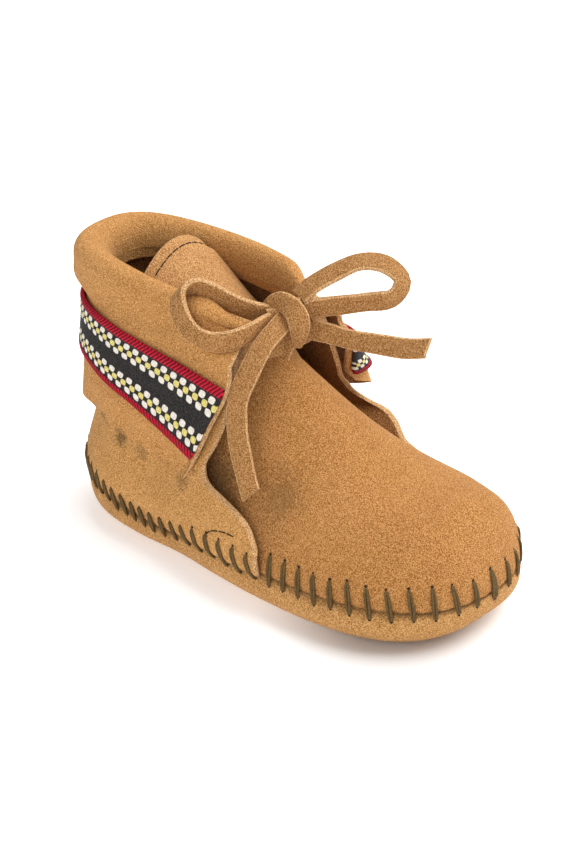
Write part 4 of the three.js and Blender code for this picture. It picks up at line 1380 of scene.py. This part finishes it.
def seam_at(run):
    """Seam point, outward direction and forward direction at a distance round the seam."""
    run = run % seam_run[-1]
    ahead = (run + FORWARD_STEP) % seam_run[-1]
    here = np.array([np.interp(run, seam_run, seam_line[:, k]) for k in range(2)])
    there = np.array([np.interp(ahead, seam_run, seam_line[:, k]) for k in range(2)])
    forward = (there - here) / np.linalg.norm(there - here)
    return here, np.array([forward[1], -forward[0]]), forward


def leather_reach(here, out, z):
    """How far out of the seam line the leather is at a height."""
    start = Vector((*(here + RAY_START * out), z))
    hit = leather.ray_cast(start, Vector((*-out, 0)))[3]
    return RAY_START - hit if hit else 0.0


def taut(reach):
    """A thread pulled tight over a profile bridges every hollow."""
    pulled = reach.copy()
    for first in range(len(reach)):
        for last in range(first + 2, len(reach)):
            between = np.arange(first, last + 1)
            chord = np.interp(between, (first, last), (reach[first], reach[last]))
            pulled[between] = np.maximum(pulled[between], chord)
    return pulled


here, out, _ = seam_at(0.0)
print(f"leather at the heel's seam: {leather_reach(here, out, SEAM_Z):.2f} mm out")

# %% [markdown]
# ## Whip stitches
# The uppers and the sole are sewn edge to edge with a doubled thread that goes over the seam, so each stitch
# is a pair of short strands that leans a little. Their points are found at a few heights, and the pair is
# laid side by side over them with a slight twist. Both ends dive into a hole, shown as a small dark-brown
# disc of painted shade. The seed is fixed, so the unevenness of the hand is the same each time.

# %% Whip stitches
STITCH_UP = np.array([
    (-55, 4.4), (-38, 4.2), (-22, 3.2), (-10, 3.6), (2, 5), (14, 4.8), (30, 4.8), (46, 5.6), (55, 5.4)])
STITCH_DOWN = 1.7
STITCH_LEAN = 1.2
STITCH_PROUD = 0.3
STITCH_DIVE = 0.8
STITCH_POINTS = 13
STRANDS = 2
STRAND_RADIUS = 0.31
STRAND_RINGS = 19
STRAND_SWAY = 0.32
STRAND_TWIST = 0.9
STRAND_MEET = 0.4
STRAND_THIN = 0.75
HOLE_RADIUS = 0.5
HOLE_SIDES = 10
HOLE_NARROW = 0.8
HOLE_SINK = 0.05
HOLE_PROUD = 0.1

draw = np.random.default_rng(81)


def hole(middle, normal, radius):
    """A small disc where the thread goes in, dark brown as painted shade for the pit."""
    side = unit(np.cross(normal, np.array([0, 0, 1.0])))
    other = np.cross(normal, side)
    turn = np.linspace(0, 2 * np.pi, HOLE_SIDES, endpoint=False)
    rim = middle + radius * (HOLE_NARROW * np.cos(turn)[:, None] * side + np.sin(turn)[:, None] * other)
    points = np.vstack([rim - HOLE_SINK * normal, middle + HOLE_PROUD * normal])
    return points, [[k, (k + 1) % HOLE_SIDES, HOLE_SIDES] for k in range(HOLE_SIDES)]


strands, holes = [], []
steps = np.linspace(0, 1, STITCH_POINTS)
bow = np.sin(np.pi * steps)
swell = STRAND_THIN + (1 - STRAND_THIN) * np.sin(np.linspace(0, np.pi, STRAND_RINGS))
all_runs = np.concatenate([stitch_runs, seam_run[-1] - stitch_runs])
for run in all_runs:
    here, out, forward = seam_at(run)
    rise = read(STITCH_UP, 1, here[0]) * draw.uniform(0.92, 1.08)
    fall = STITCH_DOWN * draw.uniform(0.85, 1.15)
    lean = STITCH_LEAN * draw.uniform(0.7, 1.3)
    height = seam_z(here[0]) + mix(rise, -fall, steps)
    along = lean * (steps - 0.5)
    feet = here + along[:, None] * forward
    reach = np.array([leather_reach(foot, out, z) for foot, z in zip(feet, height)])
    lift = STITCH_PROUD * bow ** 0.5
    lift[[0, -1]] = -STITCH_DIVE
    proud = taut(reach) + lift
    for strand in range(STRANDS):
        turn = np.pi * strand + STRAND_TWIST * (steps - 0.5)
        sway = STRAND_SWAY * np.cos(turn) * (STRAND_MEET + (1 - STRAND_MEET) * bow ** 0.5)
        stack = STRAND_SWAY * np.sin(turn) * bow
        flat = feet + (proud + stack)[:, None] * out + sway[:, None] * forward
        centre = np.column_stack([flat, height])
        strands.append(tube(through(centre, STRAND_RINGS)[0], STRAND_RADIUS * swell))
    for end in (0, -1):
        middle = np.array([*(feet[end] + reach[end] * out), height[end]])
        holes.append(hole(middle, np.array([*out, 0.0]), HOLE_RADIUS * draw.uniform(0.8, 1.2)))

points, faces = gather(strands)
whip_stitches = finish_mesh("whip_stitches", points, faces, [olive_thread], [0] * len(faces))
points, faces = gather(holes)
stitch_holes = finish_mesh("stitch_holes", points, faces, [hole_shade_and_dark_thread], [0] * len(faces))
print(f"{len(all_runs)} whip stitches of {STRANDS} strands")

# %% [markdown]
# ## Topstitching
# Finer machine stitching shows along the top of the tongue and at the foot of each wing. A row of stitches
# is a line laid on the leather and cut into dashes, each a thin strand that dips at both ends.

# %% Topstitching
DASH_LENGTH = 2.0
DASH_GAP = 0.25
DASH_RADIUS = 0.15
DASH_POINTS = 7
DASH_START = 0.2
DASH_ARCH = 0.2
DASH_SINK = 0.1
TONGUE_HEM = 2.5
HEM_MARGIN = 4
HEM_ROWS = 11
WING_ROW_POINTS = 60
WING_ROW = [
    (-0.6, -27.6, 13.6), (0, -27.7, 15.2), (1.4, -27.8, 16.1), (3.3, -27.6, 16.5), (5.3, -27.5, 16.7),
    (7.5, -27.6, 16.7)]


def dashes(line, surface):
    """Strands for a row of stitches along a line laid on the leather."""
    run = np.concatenate([[0], np.cumsum(np.linalg.norm(np.diff(line, axis=0), axis=1))])
    lift = DASH_ARCH * np.sin(np.linspace(0, np.pi, DASH_POINTS)) ** 0.5 - DASH_SINK
    made = []
    for start in np.arange(DASH_START, run[-1] - DASH_LENGTH, DASH_LENGTH + DASH_GAP):
        at = np.linspace(start, start + DASH_LENGTH, DASH_POINTS)
        centre = np.column_stack([np.interp(at, run, line[:, k]) for k in range(3)])
        hits = [surface.find_nearest(Vector(point))[:2] for point in centre]
        laid = np.array([np.array(place) + np.array(normal) * up for (place, normal), up in zip(hits, lift)])
        made.append(tube(laid, np.full(DASH_POINTS, DASH_RADIUS)))
    return made


hemmed = tongue_grid[:, HEM_MARGIN:-HEM_MARGIN]
top_row = hemmed[-1]
down_tongue = unit(hemmed[-1 - HEM_ROWS] - top_row)
hem = dashes(top_row + TONGUE_HEM * down_tongue, surface_of(tongue))
wing_row = through(WING_ROW, WING_ROW_POINTS)[0]
wings = dashes(wing_row, leather) + dashes(wing_row * (1, -1, 1), leather)
points, faces = gather(hem + wings)
topstitching = finish_mesh("topstitching", points, faces, [hole_shade_and_dark_thread], [0] * len(faces))
print(f"{len(hem)} stitches along the tongue, {len(wings)} on the wings")

# %% [markdown]
# ## Floor and light
# A white sweep and broad soft lamps, as in a studio: the surroundings give most of the light, a large lamp
# above models the top, and one in front lifts the side that faces the camera. The floor glows a little,
# painted light that keeps shadows light, and the glow fades out close under the toe, which paints a contact
# shadow there.

# %% Floor and light
FLOOR_SIZE = 4.0
FLOOR_PAINTED_GLOW = 0.4
TOE_SHADOW_MIDDLE = (0.043, -0.014, 0)
TOE_SHADOW_EDGE = (0.006, 0.038)
FLOOR_WHITE = (0.9, 0.9, 0.9, 1)
SURROUND = 0.36
LAMP_AIM = (0, 0, 0.03)

floor_mesh = bpy.data.meshes.new("floor")
half = FLOOR_SIZE / 2
corners = [(-half, -half, 0), (half, -half, 0), (half, half, 0), (-half, half, 0)]
floor_mesh.from_pydata(corners, [], [(0, 1, 2, 3)])
floor = bpy.data.objects.new("floor", floor_mesh)
bpy.context.scene.collection.objects.link(floor)
floor_finish, floor_shader, floor_plug = new_finish("white_floor", roughness=0.9)
floor_shader.inputs["Base Color"].default_value = FLOOR_WHITE
# Painted light: the floor glows, and its glow fades to nothing near the toe, a painted contact shadow.
floor_shader.inputs["Emission Strength"].default_value = FLOOR_PAINTED_GLOW
place = floor_plug.node("ShaderNodeTexCoord", {}, {}, out="Object")
sockets = {0: place, 1: TOE_SHADOW_MIDDLE}
from_toe = floor_plug.node("ShaderNodeVectorMath", {"operation": "DISTANCE"}, sockets, out="Value")
glow_with_painted_toe_shadow = from_toe.between(*TOE_SHADOW_EDGE).blend((0, 0, 0, 1), (1, 1, 1, 1))
feed(floor_shader, "Emission Color", glow_with_painted_toe_shadow)
floor_mesh.materials.append(floor_finish)

world = bpy.data.worlds.new("studio")
world.use_nodes = True
world.node_tree.nodes["Background"].inputs["Color"].default_value = (1, 1, 1, 1)
world.node_tree.nodes["Background"].inputs["Strength"].default_value = SURROUND
bpy.context.scene.world = world
bpy.context.scene.view_settings.view_transform = "Standard"


def lamp(name, place, size, power):
    """A square soft lamp turned to the boot, its place and size in metres."""
    light = bpy.data.lights.new(name, "AREA")
    light.size = size
    light.energy = power
    holder = bpy.data.objects.new(name, light)
    bpy.context.scene.collection.objects.link(holder)
    holder.location = place
    direction = Vector(LAMP_AIM) - Vector(place)
    holder.rotation_euler = direction.to_track_quat("-Z", "Y").to_euler()


lamp("top_lamp", (0.2, 0.45, 0.85), size=1.3, power=18.5)
lamp("front_lamp", (0.3, -0.9, 0.4), size=0.8, power=3.8)
print("lamps:", [item.name for item in bpy.data.lights])
